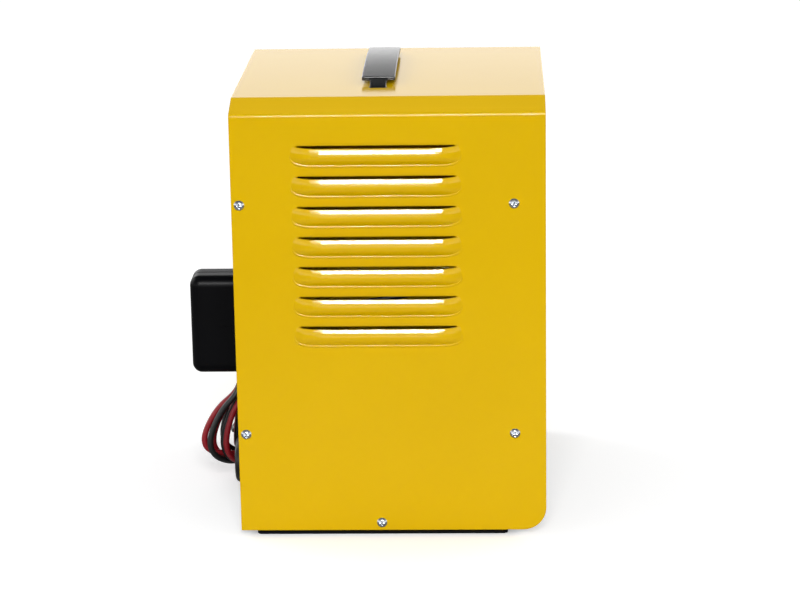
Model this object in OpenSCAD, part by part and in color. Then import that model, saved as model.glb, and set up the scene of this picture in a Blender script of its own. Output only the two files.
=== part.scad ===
// Battery charger with a starting boost: a folded sheet case on two runners,
// with a transformer and a rectifier inside, and two battery leads.
// The front faces -Y. Millimetres, +Z up, the runners stand on z = 0.

/* [Case] */
// Width across the two sides of the cover
case_w = 265; // [250:1:320]
// Depth of the cover, front edge to rear edge
case_d = 240; // [232:1:300]
// Height of the cover's side, lower edge to first fold
side_h = 333; // [326:1:400]
// Level width of the sloping band along each side of the top
facet_w = 26.5; // [18:0.5:36]
// Rise of the sloping band
facet_rise = 8.5; // [5:0.5:14]
// Thickness of the cover and chassis sheet
sheet = 1.2; // [0.8:0.1:1.6]
// Outer radius of the folds in the cover
fold_r = 2.6; // [2:0.1:4]
// How far the cover reaches behind the rear panel
rear_lip = 18; // [18:1:30]
// Radius of the cover's lower rear corners
lip_corner_r = 18; // [4:1:18]
// How far the front panel lies behind the cover's front edge
front_inset = 1; // [0.5:0.5:3]
// Gap between the cover and the chassis inside it
cover_gap = 0.3; // [0.2:0.1:0.6]
// Width of the chassis flanges behind the cover
flange_w = 13; // [12:0.5:18]

/* [Louvres] */
// Number of louvres in each side
louvre_count = 7; // [3:1:8]
// Height of the top louvre's lip above the cover's lower edge
louvre_top = 308.5; // [300:0.5:312]
// Distance from one louvre to the next
louvre_pitch = 23.7; // [21:0.1:26]
// Length of a louvre along its lip
louvre_len = 129; // [80:1:150]
// Height of a louvre, lip to crease
louvre_h = 15; // [12:0.5:17]
// How far the lip stands out of the side
louvre_out = 5.5; // [4:0.5:7]

/* [Cover screws] */
// Distance of the screws from the front edge, and from the rear panel
screw_edge = 6.2; // [6:0.1:8]
// Height of the lower pair above the cover's lower edge
screw_low = 79.5; // [60:0.5:100]
// Height of the upper pair above the cover's lower edge
screw_high = 263; // [220:1:280]
// Height of the single lower screw above the cover's lower edge
screw_base = 6.3; // [5.6:0.1:7]
// Diameter of the screw head
head_d = 8; // [7:0.5:9]
// Height of the screw head
head_h = 2.6; // [2:0.1:3]
// Diameter of the screw shank
shank_d = 3.8; // [3:0.1:4.2]

/* [Handle strap] */
// Length of the strap
strap_len = 133; // [110:1:160]
// How far the strap sits from the middle of the top, towards the side with the louvres
strap_off = -10.5; // [-20:0.5:20]
// Width of the strap
strap_w = 26; // [20:0.5:32]
// Thickness of the strap
strap_t = 3.5; // [3:0.25:5]
// Height of the strap's underside above the top, at its ends
strap_low = 2.5; // [2:0.25:9]
// How much higher the strap's middle is than its ends
strap_rise = 2.5; // [1.5:0.25:14]
// Width of the neck that passes through the top
neck_w = 12.5; // [10:0.5:18]
// Thickness of the neck
neck_t = 3; // [2:0.25:4]
// From the strap's end to where its neck turns down into the slot
neck_reach = 14; // [10:0.5:20]

/* [Runners] */
// Height of the runners
foot_h = 5; // [4:0.5:8]
// Length of a runner
foot_len = 198; // [170:1:204]
// Width of a runner
foot_w = 14; // [12:1:20]
// Distance of a runner from the cover's side
foot_inset = 5; // [4:1:10]

/* [Lead housing] */
// Width of the housing
housing_w = 36; // [34:1:46]
// Reach of the housing in front of the cover's front edge
housing_d = 48; // [47:0.5:60]
// Height of the housing
housing_h = 82; // [72:0.5:95]
// Height of the housing's underside above the cover's lower edge
housing_low = 94; // [93:0.5:108]
// Radius of the housing's edges
housing_r = 8; // [5:0.5:10]
// Wall of the housing
housing_wall = 2.5; // [2:0.25:3.5]
// Depth of the groove between the two half shells
groove = 0.8; // [0.5:0.1:1.2]

/* [Leads] */
// Diameter of a battery lead
lead_d = 5; // [4.5:0.25:5.25]
// Distance of the leads from the middle of the housing
lead_x = 5.5; // [4:0.5:7]
// Distance of the leads in front of the cover's front edge
lead_out = 6.5; // [5.5:0.5:8]
// How far the folded leads reach to the right of the middle
hank_right = 15; // [14:0.5:18]
// How far the folded leads reach to the left of the middle
hank_left = 40; // [38:1:42]
// Width of the strands that hang forward
hank_front_w = 25; // [20:1:30]

/* [Clamps] */
// Distance from the middle of the front to the red clamp
clamp_x = 56; // [54:1:58]
// Distance between the two clamps
clamp_step = 50; // [49:0.5:52]
// Height of the clamp rivets above the cover's lower edge
clamp_z = 160; // [156:1:165]
// Width of the outer jaw plates
clamp_w = 13; // [12:0.5:14]
// Thickness of the clamp's sheet
clamp_t = 1.2; // [1:0.1:1.4]
// Distance of the clamps in front of the cover's front edge
clamp_gap = 2; // [1.5:0.25:2.5]
// Thickness of the fins that the clamps grip
fin_t = 1.5; // [1:0.25:2]
// Diameter of the clamp rivet
rivet_d = 5; // [4:0.5:6]

/* [Controls] */
// Distance of the rockers to the right of the middle
switch_x = 58; // [50:1:64]
// Height of the power rocker above the cover's lower edge
power_z = 180; // [170:1:200]
// Height of the 12/24 V rocker above the cover's lower edge
volt_z = 135; // [120:1:140]
// Height of the reset button above the cover's lower edge
reset_z = 95; // [85:1:100]
// Distance of the selector to the right of the middle
knob_x = 42.5; // [40:0.5:60]
// Height of the selector above the cover's lower edge
knob_z = 29; // [26:0.5:36]
// Diameter of the selector knob at its skirt
knob_d = 42; // [34:0.5:44]
// Reach of the knob in front of the cover's front edge
knob_out = 11.5; // [9:0.5:14]
// Distance of the pilot lamps to the left of the middle
lamp_x = 82; // [70:1:95]
// Height of the upper lamp above the cover's lower edge
lamp_z = 272; // [260:1:285]
// Distance between the lamps
lamp_step = 26; // [20:1:34]

/* [Ammeter] */
// Width of the ammeter
meter_w = 84; // [76:1:96]
// Height of the ammeter
meter_h = 68; // [62:1:78]
// Height of the ammeter's middle above the cover's lower edge
meter_z = 259; // [250:1:275]
// Reach of the ammeter in front of the cover's front edge
meter_out = 7; // [6.5:0.25:8]
// Diameter of the movement behind the panel
meter_can_d = 56; // [48:1:60]
// Length of the needle from its pivot
needle_len = 38; // [32:1:40]

/* [Transformer] */
// Width of the core
core_w = 126; // [114:2:140]
// Height of the core
core_h = 105; // [96:1:120]
// Thickness of the stack
core_d = 62; // [50:1:70]
// Width of an outer leg
core_leg = 21; // [18:0.5:24]
// Diameter of the through bolts
bolt_d = 5; // [4:0.5:6]

/* [Rectifier] */
// Width of the rectifier plate
plate_w = 150; // [130:1:180]
// Height of the rectifier plate
plate_h = 90; // [80:1:110]
// Thickness of the rectifier plate
plate_t = 3; // [2:0.5:5]
// Height of the plate's lower edge above the cover's lower edge
plate_z = 165; // [150:1:180]
// Length of the spacers that carry the plate
spacer_len = 14; // [10:1:20]

/* [Rear panel] */
// Distance of the mains gland to the right of the middle
gland_x = 84; // [70:1:95]
// Height of the mains gland above the cover's lower edge
gland_z = 40; // [36:1:60]
// Diameter of the cord that the gland takes
gland_bore = 8.5; // [7:0.25:10]
// Length of a vent slot
vent_len = 74; // [50:1:90]
// Number of vent slots in each column
vent_count = 8; // [4:1:9]

/* [Hidden] */

// Small clearances
run = 0.05;          // a pin in its bore
loose = 0.3;         // a piece in its cut-out
hole_gap = 0.5;      // a shank in its hole, on the diameter

// The case
facet_a = atan(facet_rise / facet_w);
base_z = foot_h;
top_z = base_z + side_h + facet_rise;
front_y = (housing_d - case_d) / 2;
rear_y = front_y + case_d;
panel_y = front_y + front_inset;
panel_in = panel_y + sheet;
back_y = rear_y - rear_lip;
back_in = back_y - sheet;
mid_y = (front_y + back_y) / 2;
half_w = case_w / 2;
shell_in = sheet + cover_gap;
inner_x = half_w - shell_in;
floor_z = base_z + sheet;
base_flange = 2 * screw_base + 1.5;
flange_start = base_z + base_flange + 3;

// The louvres: they rise from the crease to a ridge and fall a little to the lip
louvre_end = 22;
louvre_mid = louvre_len / 2 - louvre_end;
louvre_ridge = 0.47 * louvre_h;
louvre_drop = 1.4;
louvre_ends = [1.06, 0.94, 0.84, 0.72, 0.56, 0.36, 0];
louvre_rows = [0, 0.09, 0.19, 0.3, 0.43, 0.57, 0.7, 0.82, 0.92, 1.05];

// The screws in each side, as places along Y and heights
side_screws = [
    [front_y + screw_edge, base_z + screw_low],
    [front_y + screw_edge, base_z + screw_high],
    [back_y - screw_edge, base_z + screw_low],
    [back_y - screw_edge, base_z + screw_high],
    [mid_y, base_z + screw_base]
];
screw_len = 7;

// The strap
strap_half = strap_len / 2;
strap_end_z = top_z + strap_low;
strap_r = (strap_half * strap_half + strap_rise * strap_rise) / (2 * strap_rise);
neck_x = strap_half + neck_reach;
neck_start = [strap_half - 3, strap_end_z + strap_t / 2];
neck_turn = [neck_x, top_z - 0.4];
neck_run = neck_turn[0] - neck_start[0];
neck_fall = neck_start[1] - neck_turn[1];
neck_lean = norm([neck_run, neck_fall]) / neck_run;
slot_in = (neck_t / 2 * neck_lean + top_z - neck_turn[1]) * neck_run / neck_fall;
tee_h = 3.5;
tee_w = neck_w + 10;
tee_z = top_z - sheet - loose - tee_h;

// The housing
housing_z = base_z + housing_low;
housing_mid = housing_z + housing_h / 2;
housing_y = front_y - housing_d;
boss_x = housing_w / 2 - housing_wall - 3;
boss_dz = housing_h / 2 - 16;
boss_len = 24;
housing_screw_d = 3;
grommet_r = 9;

// The folded leads, seen from the side: places in front of the cover, and heights
hank_top = housing_z - 2.5;
hank_front = [
    [1.5, hank_top, 3], [11, hank_top, 3], [11, hank_top - 12, 8],
    [45, 41, 14], [40, 18, 12], [12, 12.5, 8], [1.5, 22, 6]
];
hank_back = [
    [1.5, hank_top, 3], [11, hank_top, 3], [11, 52, 12], [22, 32, 10], [16, 14, 8], [1.5, 20, 6]
];
tie_x = -12.6;
tie_w = 8;
tie_z = hank_top - 10.6;
tie_t = 0.9;

// The clamps
clamp_y = front_y - clamp_gap - clamp_w / 2;
red_x = -clamp_x;
black_x = -clamp_x - clamp_step;
rivet_z = base_z + clamp_z;
inner_w = clamp_w - 2 * clamp_t - 0.8;
grip = fin_t / 2 + 0.2;
jaw_tip = 41;
fin_z = rivet_z + 26;
fin_h = 14;
handle_top = [9.5, -10];
handle_end = [19, -50];
handle_a = atan2(handle_end[0] - handle_top[0], handle_top[1] - handle_end[1]);
handle_len = norm(handle_end - handle_top);
handle_half = 3.6;
sleeve_t = 1.2;
sleeve_gap = 0.15;
sleeve_start = 3;

// The controls
rocker_r = 11.6;
rocker_w = 14;
rocker_a = 11;
rocker_face = 3;
rocker_y = front_y + 1.4;
bezel_h = 31;
bezel_w = 22;
bezel_t = 2.2;
button_r = 5;
button_travel = 2.5;
knob_shaft_d = 6;
knob_bush_d = 9;
lamp_d = 8;

// The ammeter
meter_base_t = 2;
meter_wall = 1.6;
hood_y = front_y - meter_out + meter_wall + loose;
meter_mid = base_z + meter_z;
needle_z = meter_mid - meter_h / 2 + 17;
needle_rest = 42;
dial_y = panel_y - meter_base_t;
dial_t = 0.8;
needle_y = dial_y - dial_t - 1.3;

// The transformer
core_y = mid_y;
core_x = -2;
core_z = floor_z;
window_w = (core_w - 4 * core_leg) / 2;
window_h = core_h - 2 * core_leg;
bolt_x = core_w / 2 - core_leg / 2;
bolt_dz = core_h / 2 - core_leg / 2;
former_t = 1.5;
angle_t = 3;
angle_w = 20;
coil_half = core_leg + window_w - 2;
coil_room = window_w - 2 - loose - former_t;

// The rectifier plate stands in front of the rear panel
plate_back = back_in - spacer_len;
plate_front = plate_back - plate_t;
plate_low = base_z + plate_z;
plate_hole_x = plate_w / 2 - 10;
plate_hole_z = plate_h / 2 - 10;
post_x = 40;
post_z = plate_low + 16;
diode_x = 44;
diode_z = plate_low + plate_h - 30;

gland_y = back_y;
gland_mid = base_z + gland_z;

// Routes of the leads as [x, distance in front of the cover, height]
stub = [[0, lead_out, housing_z + 4], [0, lead_out, housing_z + 1], [0, lead_out, hank_top]];
red_tail = [[-37, 8.5, 115], [-36.05, 8.5, 111], [-36.1, 8.3, 106], [-36.7, 8, hank_top]];
black_tail = [
    [-87, 8.5, 115], [-86.05, 8.5, 111], [-84.3, 8.5, 103.5], [-82, 8.5, 92.5], [-78.8, 8.5, 80],
    [-74.2, 8.5, 68], [-67.6, 8.5, 57], [-59, 8.5, 48], [-50, 8.5, 42], [-41.8, 8.5, 39.3], [-40, 8.5, 39.3]
];

// Extrudes a shape drawn in X and Z between two places along Y
module along_y(y0, y1) {
    translate([0, y1, 0])
        rotate([90, 0, 0])
            linear_extrude(y1 - y0)
                children();
}

// Extrudes a shape drawn in Y and Z between two places along X
module along_x(x0, x1) {
    translate([x0, 0, 0])
        rotate([90, 0, 90])
            linear_extrude(x1 - x0)
                children();
}

// A round bar or bore along Y, centred on x and z
module rod_y(x, z, r, y0, y1) {
    translate([x, y1, z])
        rotate([90, 0, 0])
            cylinder(r = r, h = y1 - y0, $fn = 32);
}

// Turns a lathe shape, drawn upright, so that its axis points out of the front
module face_front(x, y, z) {
    translate([x, y, z])
        rotate([90, 0, 0])
            children();
}

// Points of the round corner b between a and c
function corner(a, b, c, r, n) =
    let (
        u = (a - b) / norm(a - b),
        v = (c - b) / norm(c - b),
        half = acos(u * v) / 2,
        mid = (u + v) / norm(u + v),
        centre = b + mid * r / sin(half),
        p = b + u * r / tan(half) - centre,
        q = b + v * r / tan(half) - centre,
        turn = 180 - 2 * half,
        way = p[0] * q[1] - p[1] * q[0] > 0 ? 1 : -1
    )
    [for (i = [0:n])
        let (t = way * turn * i / n)
        centre + [p[0] * cos(t) - p[1] * sin(t), p[0] * sin(t) + p[1] * cos(t)]];

// A closed outline through [x, y, radius] points, with its corners made round
function rounded(p, n = 6) =
    [for (i = [0:len(p) - 1])
        let (
            b = p[i],
            a = p[(i + len(p) - 1) % len(p)],
            c = p[(i + 1) % len(p)],
            arc = b[2] > 0 ? corner([a[0], a[1]], [b[0], b[1]], [c[0], c[1]], b[2], n) : [[b[0], b[1]]]
        )
        each arc];

// A rectangle with round corners, centred on the origin
function rounded_box(w, h, r, n = 6) =
    rounded([[-w / 2, -h / 2, r], [w / 2, -h / 2, r], [w / 2, h / 2, r], [-w / 2, h / 2, r]], n);

// Cross section of the case, drawn that far inside the cover's outer face
function case_outline(inset, r, low) =
    let (
        x1 = half_w - inset,
        z1 = base_z + side_h - inset * tan(45 - facet_a / 2),
        x2 = half_w - facet_w - inset * tan(facet_a / 2),
        z2 = top_z - inset
    )
    rounded([
        [x1, low, 0], [x1, z1, r], [x2, z2, r],
        [-x2, z2, r], [-x1, z1, r], [-x1, low, 0]
    ], 4);

function unit(v) = v / norm(v);

// Direction of a route at its point i
function heading(p, i) = unit(p[min(i + 1, len(p) - 1)] - p[max(i - 1, 0)]);

// A vector across a route, carried along from point to point without turning
function across(v, t) = unit(v - (v * t) * t);

// Side vectors of a route, one for each point
function sides(p, first) =
    [for (i = 0, v = across(first, heading(p, 0)); i < len(p);
          i = i + 1, v = i < len(p) ? across(v, heading(p, i)) : v) v];

// A round tube through the points of a route
module tube(p, d, sides_n, first = [1, 0, 0]) {
    side = sides(p, first);
    last = len(p) - 1;
    rings = [for (i = [0:last])
        let (up = cross(heading(p, i), side[i]))
        for (k = [0:sides_n - 1])
            p[i] + d / 2 * (cos(360 * k / sides_n) * side[i] + sin(360 * k / sides_n) * up)];
    walls = [for (i = [0:last - 1], k = [0:sides_n - 1])
        let (a = i * sides_n + k, b = i * sides_n + (k + 1) % sides_n)
        [a, a + sides_n, b + sides_n, b]];
    caps = [
        [for (k = [0:sides_n - 1]) k],
        [for (k = [sides_n - 1:-1:0]) last * sides_n + k]
    ];
    polyhedron(rings, concat(walls, caps));
}

// A lead route in the part's frame
function lead_route(p) = [for (q = p) [q[0], front_y - q[1], q[2]]];

// A block with all its edges round except those at its back, which lies on y = back
module soft_block(w, d, h, r, back) {
    dx = w / 2 - r;
    dz = h / 2 - r;
    y_edge = back - d + r;
    translate([-dx, y_edge, -h / 2]) cube([2 * dx, d - r, h]);
    translate([-w / 2, y_edge, -dz]) cube([w, d - r, 2 * dz]);
    translate([-dx, back - d, -dz]) cube([2 * dx, d, 2 * dz]);
    for (x = [-dx, dx], z = [-dz, dz]) {
        rod_y(x, z, r, y_edge, back);
        translate([x, y_edge, z]) sphere(r = r, $fn = 32);
    }
    for (z = [-dz, dz])
        translate([-dx, y_edge, z]) rotate([0, 90, 0]) cylinder(r = r, h = 2 * dx, $fn = 32);
    for (x = [-dx, dx])
        translate([x, y_edge, -dz]) cylinder(r = r, h = 2 * dz, $fn = 32);
}

// How far a louvre stands out at a place: y from its middle, z from the cut downwards
function louvre_rise(y, z) =
    let (
        u = max(0, (abs(y) - louvre_mid) / louvre_end),
        up = max(0, (z + louvre_ridge) / louvre_ridge),
        down = max(0, (-louvre_ridge - z) / (louvre_h - louvre_ridge)),
        t = 0.45 * pow(up, 1.5) + pow(down, 1.8)
    )
    louvre_out * (1 - pow(pow(t, 1.5) + pow(u, 3.3), 1 / 1.5));

// Height of the lip at y: the middle is drawn down from the cut as it is pressed out
function louvre_lip(y) =
    let (u = max(0, (abs(y) - louvre_mid) / louvre_end)) -louvre_drop * max(0, 1 - pow(u, 2.2));

// A louvre as a solid between a flat back and its skin. The cavity starts at the cut itself.
module louvre_form(skin, back, cavity) {
    ys = concat(
        [for (u = louvre_ends) -louvre_mid - louvre_end * u],
        [for (i = [len(louvre_ends) - 1:-1:0]) louvre_mid + louvre_end * louvre_ends[i]]
    );
    rows = cavity ? concat([-1], louvre_rows) : louvre_rows;
    n = len(rows);
    m = len(ys);
    grid = [for (y = ys, f = rows)
        let (lip = louvre_lip(y), z = f < 0 ? 0.3 : lip - (louvre_h + lip) * f)
        [skin + max(louvre_rise(y, min(z, lip)), -0.6), y, z]];
    rim = concat(
        [for (j = [0:n - 1]) j],
        [for (i = [1:m - 1]) i * n + n - 1],
        [for (j = [n - 2:-1:0]) (m - 1) * n + j],
        [for (i = [m - 2:-1:1]) i * n]
    );
    k = len(rim);
    skins = [for (i = [0:m - 2], j = [0:n - 2])
        let (a = i * n + j, b = a + n)
        each (i == len(louvre_ends) - 1 ? [[a, b, b + 1, a + 1]] : [[a, b, b + 1], [a, b + 1, a + 1]])];
    walls = [for (i = [0:k - 1])
        let (q = (i + 1) % k)
        [rim[i], rim[q], m * n + q, m * n + i]];
    polyhedron(
        concat(grid, [for (i = rim) [back, grid[i][1], grid[i][2]]], [[back, 0, -louvre_h / 2]]),
        concat(skins, walls, [for (i = [0:k - 1]) [m * n + i, m * n + (i + 1) % k, m * n + k]])
    );
}

// Puts a louvre in each side of the cover
module at_louvres() {
    for (k = [0:louvre_count - 1], side = [0, 1])
        mirror([side, 0, 0])
            translate([half_w - sheet, mid_y, base_z + louvre_top - k * louvre_pitch])
                children();
}

module cover() {
    color("#dfb504")
        difference() {
            union() {
                difference() {
                    along_y(front_y, rear_y) polygon(case_outline(0, fold_r, base_z));
                    along_y(front_y - 1, rear_y + 1)
                        polygon(case_outline(sheet, max(fold_r - sheet, 0.3), base_z - 1));
                    along_x(-half_w - 1, half_w + 1)
                        difference() {
                            translate([rear_y - lip_corner_r, base_z - 1])
                                square([lip_corner_r + 1, lip_corner_r + 1]);
                            translate([rear_y - lip_corner_r, base_z + lip_corner_r])
                                circle(r = lip_corner_r, $fn = 64);
                        }
                }
                at_louvres() louvre_form(sheet, 0.3, false);
            }
            at_louvres() louvre_form(0, -1, true);
            for (s = side_screws)
                translate([-half_w - 1, s[0], s[1]])
                    rotate([0, 90, 0]) cylinder(d = shank_d + 2 * hole_gap, h = case_w + 2, $fn = 24);
            for (side = [-1, 1])
                translate([strap_off + side * (neck_x + neck_t / 4 - slot_in / 2), mid_y, top_z - sheet / 2])
                    cube([slot_in + neck_t / 2 + 2 * loose, neck_w + 2 * loose, sheet + 2], center = true);
        }
}

// Flange along one upright edge of a chassis panel
module side_flange(y0, y1) {
    for (side = [-1, 1])
        translate([side * (inner_x - sheet / 2) - sheet / 2, y0, flange_start])
            cube([sheet, y1 - y0, side_h - flange_start + base_z - 6]);
}

// Flange along the top edge of a chassis panel
module top_flange(y0, y1) {
    top_x = half_w - facet_w - 6;
    translate([-top_x, y0, top_z - shell_in - sheet])
        cube([2 * top_x, y1 - y0, sheet]);
}

// A cut-out for a rectangular switch
module switch_cut(z) {
    translate([switch_x - 9.5, panel_y - 1, base_z + z - 13.2])
        cube([19, sheet + 2, 26.4]);
}

module chassis() {
    color("#1c1c1e")
        difference() {
            union() {
                along_y(panel_y, panel_in) polygon(case_outline(shell_in, 1, base_z));
                along_y(back_in, back_y) polygon(case_outline(shell_in, 1, base_z));
                translate([-inner_x, panel_y, base_z])
                    cube([2 * inner_x, back_y - panel_y, sheet]);
                for (side = [-1, 1])
                    translate([side * (inner_x - sheet / 2) - sheet / 2, panel_y, base_z])
                        cube([sheet, back_y - panel_y, base_flange]);
                side_flange(panel_y, panel_y + flange_w);
                side_flange(back_y - flange_w, back_y);
                top_flange(panel_y, panel_y + flange_w);
                top_flange(back_y - flange_w, back_y);
            }
            for (s = side_screws)
                translate([-half_w, s[0], s[1]])
                    rotate([0, 90, 0]) cylinder(d = shank_d + hole_gap / 2, h = case_w, $fn = 24);
            front_holes();
            rear_holes();
            base_holes();
        }
}

module front_holes() {
    y0 = panel_y - 1;
    y1 = panel_in + 1;
    rod_y(0, meter_mid, meter_can_d / 2 + loose, y0, y1);
    switch_cut(power_z);
    switch_cut(volt_z);
    rod_y(switch_x, base_z + reset_z, 6, y0, y1);
    rod_y(knob_x, base_z + knob_z, knob_bush_d / 2 + loose / 2, y0, y1);
    for (k = [0, 1])
        rod_y(-lamp_x, base_z + lamp_z - k * lamp_step, lamp_d / 2 + loose / 2, y0, y1);
    rod_y(0, housing_mid, grommet_r, y0, y1);
    for (x = [-boss_x, boss_x], z = [-boss_dz, boss_dz])
        rod_y(x, housing_mid + z, housing_screw_d / 2 + hole_gap / 2, y0, y1);
    for (x = rest_holes())
        rod_y(x, fin_z + fin_h / 2, shank_d / 2 + hole_gap / 2, y0, y1);
}

module rear_holes() {
    y0 = back_in - 1;
    y1 = back_y + 1;
    rod_y(gland_x, gland_mid, 8 + loose / 2, y0, y1);
    for (x = [-plate_hole_x, plate_hole_x], z = [-plate_hole_z, plate_hole_z])
        rod_y(x, plate_low + plate_h / 2 + z, shank_d / 2 + hole_gap / 2, y0, y1);
    for (side = [-1, 1], k = [0:vent_count - 1])
        translate([side * (vent_len / 2 + 12) - vent_len / 2, y0, base_z + 62 + 10 * k])
            cube([vent_len, y1 - y0, 4.5]);
}

module base_holes() {
    for (p = foot_screws())
        translate([p[0], p[1], base_z - 1])
            cylinder(d = shank_d + hole_gap, h = sheet + 2, $fn = 24);
    for (p = angle_screws())
        translate([p[0], p[1], base_z - 1])
            cylinder(d = shank_d + hole_gap, h = sheet + 2, $fn = 24);
}

// Places of the screws through the base into the runners
function foot_screws() =
    [for (side = [-1, 1], k = [-1, 0, 1])
        [side * (half_w - foot_inset - foot_w / 2), mid_y + k * (foot_len / 2 - 20)]];

// Places of the screws through the transformer's lower angles
function angle_screws() =
    [for (sx = [-1, 1], sy = [-1, 1])
        [core_x + sx * (core_w / 2 - 14), core_y + sy * (core_d / 2 + angle_t + angle_w / 2)]];

// Places across the front of the screws that hold the clamp rest
function rest_holes() = [black_x + 13, red_x - 13];

module runners() {
    color("#161618")
        difference() {
            for (side = [-1, 1])
                translate([side * (half_w - foot_inset - foot_w / 2), mid_y, 0])
                    difference() {
                        linear_extrude(base_z) polygon(rounded_box(foot_w, foot_len, 4, 4));
                        for (x = [-foot_w / 4, foot_w / 4])
                            translate([x, 0, 0])
                                cube([1.6, foot_len - 16, 2.4], center = true);
                    }
            for (p = foot_screws())
                translate([p[0], p[1], 1.5])
                    cylinder(d = shank_d + 2 * run, h = base_z, $fn = 24);
        }
}

module handle_strap() {
    centre_z = strap_end_z + strap_t + strap_rise - strap_r;
    color("#18181a")
        translate([strap_off, 0, 0]) {
            along_y(mid_y - strap_w / 2, mid_y + strap_w / 2)
                intersection() {
                    difference() {
                        translate([0, centre_z]) circle(r = strap_r, $fn = 720);
                        translate([0, centre_z]) circle(r = strap_r - strap_t, $fn = 720);
                    }
                    translate([-strap_half, top_z]) square([strap_len, strap_low + strap_t + strap_rise + 1]);
                }
            for (side = [-1, 1]) {
                along_y(mid_y - neck_w / 2, mid_y + neck_w / 2)
                    scale([side, 1]) {
                        hull() {
                            translate(neck_start) circle(d = neck_t, $fn = 48);
                            translate(neck_turn) circle(d = neck_t, $fn = 48);
                        }
                        translate([neck_x - neck_t / 2, tee_z]) square([neck_t, neck_turn[1] - tee_z]);
                    }
                translate([side * neck_x - neck_t / 2, mid_y - tee_w / 2, tee_z])
                    cube([neck_t, tee_w, tee_h]);
            }
        }
}

// A pan head screw along Z, its head standing on z = 0 and its shank below
module pan_screw(length) {
    dome_r = (head_d * head_d / 4 + head_h * head_h) / (2 * head_h);
    difference() {
        union() {
            intersection() {
                cylinder(d = head_d, h = head_h, $fn = 32);
                translate([0, 0, head_h - dome_r * 1.12]) sphere(r = dome_r * 1.12, $fn = 48);
            }
            translate([0, 0, -length]) cylinder(d = shank_d, h = length + 0.1, $fn = 24);
        }
        for (a = [0, 90])
            rotate([0, 0, a])
                translate([-2.2, -0.5, head_h - 1.3]) cube([4.4, 1, 2]);
    }
}

module cover_screws() {
    color("#b9bcc0")
        for (side = [0, 1], s = side_screws)
            mirror([side, 0, 0])
                translate([half_w, s[0], s[1]])
                    rotate([0, 90, 0])
                        pan_screw(screw_len);
}

module chassis_screws() {
    color("#a9acb0") {
        for (p = foot_screws())
            translate([p[0], p[1], floor_z])
                pan_screw(sheet + base_z - 2);
        for (p = angle_screws())
            translate([p[0], p[1], floor_z + angle_t])
                pan_screw(angle_t + sheet + 0.5);
        for (x = rest_holes())
            face_front(x, panel_y - fin_t, fin_z + fin_h / 2) pan_screw(fin_t + sheet + 3);
        for (x = [-plate_hole_x, plate_hole_x], z = [-plate_hole_z, plate_hole_z]) {
            face_front(x, plate_front, plate_low + plate_h / 2 + z) pan_screw(plate_t + 5);
            translate([x, back_y, plate_low + plate_h / 2 + z])
                rotate([-90, 0, 0]) pan_screw(sheet + 5);
        }
    }
}

// The housing's outside or inside, drawn that far inside its outer face
module housing_form(inset) {
    translate([0, 0, housing_mid])
        soft_block(housing_w - 2 * inset, panel_y - housing_y - inset, housing_h - 2 * inset,
                   housing_r - inset, panel_y);
}

// The right half shell
module housing_half() {
    big = housing_d + housing_h;
    difference() {
        union() {
            intersection() {
                housing_form(0);
                translate([groove, housing_y - 1, housing_z - 1]) cube([housing_w, big, big]);
            }
            intersection() {
                housing_form(groove);
                translate([0, housing_y - 1, housing_z - 1]) cube([groove, big, big]);
            }
        }
        difference() {
            housing_form(housing_wall);
            for (z = [-boss_dz, boss_dz])
                rod_y(boss_x, housing_mid + z, 3.6, panel_y - boss_len, panel_y + 1);
        }
        for (z = [-boss_dz, boss_dz])
            rod_y(boss_x, housing_mid + z, housing_screw_d / 2 + run, panel_y - boss_len + 3, panel_y + 1);
        translate([lead_x, front_y - lead_out, housing_z - 1])
            cylinder(d = lead_d + 2 * loose, h = housing_wall + 6, $fn = 32);
    }
    // Catch on the side of the shell
    translate([housing_w / 2 - 0.5, front_y - 22, housing_mid - 4.5])
        cube([1.2, 8.5, 4]);
}

module housing_right() {
    color("#131315") housing_half();
}

module housing_left() {
    color("#131315") mirror([1, 0, 0]) housing_half();
}

module housing_screws() {
    color("#a9acb0")
        for (x = [-boss_x, boss_x], z = [-boss_dz, boss_dz])
            translate([x, panel_in, housing_mid + z])
                rotate([-90, 0, 0]) {
                    cylinder(d = 2 * housing_screw_d, h = 2.2, $fn = 24);
                    translate([0, 0, -14]) cylinder(d = housing_screw_d, h = 14.1, $fn = 24);
                }
}

module lead_grommet() {
    groove_r = grommet_r - loose / 2;
    color("#202022")
        face_front(0, panel_in + 2.5, housing_mid)
            rotate_extrude($fn = 40)
                polygon([
                    [5.5, 0.5], [6.2, 0], [grommet_r + 2, 0], [grommet_r + 2, 2.5 - run], [groove_r, 2.5 - run],
                    [groove_r, 2.5 + sheet + run], [grommet_r + 2, 2.5 + sheet + run],
                    [grommet_r + 2, 5 + sheet], [6.2, 5 + sheet], [5.5, 4.5 + sheet]
                ]);
}

module red_lead() {
    color("#8e1420") {
        translate([lead_x, 0, 0]) tube(lead_route(stub), lead_d, 8);
        tube(lead_route(red_tail), lead_d, 8, [0, 1, 0]);
    }
}

module black_lead() {
    color("#151517") {
        translate([-lead_x, 0, 0]) tube(lead_route(stub), lead_d, 8);
        tube(lead_route(black_tail), lead_d, 8, [0, 1, 0]);
    }
}

module lead_hank() {
    color("#4a1519")
        difference() {
            union() {
                along_x(hank_right - hank_front_w, hank_right)
                    polygon(rounded([for (p = hank_front) [front_y - p[0], p[1], p[2]]], 8));
                along_x(-hank_left, hank_right - hank_front_w + 0.1)
                    polygon(rounded([for (p = hank_back) [front_y - p[0], p[1], p[2]]], 8));
            }
            translate([tie_x - tie_w / 2 - 0.2, front_y - 20, tie_z - 2.5]) cube([tie_w + 0.4, 30, 2.5]);
        }
}

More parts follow.
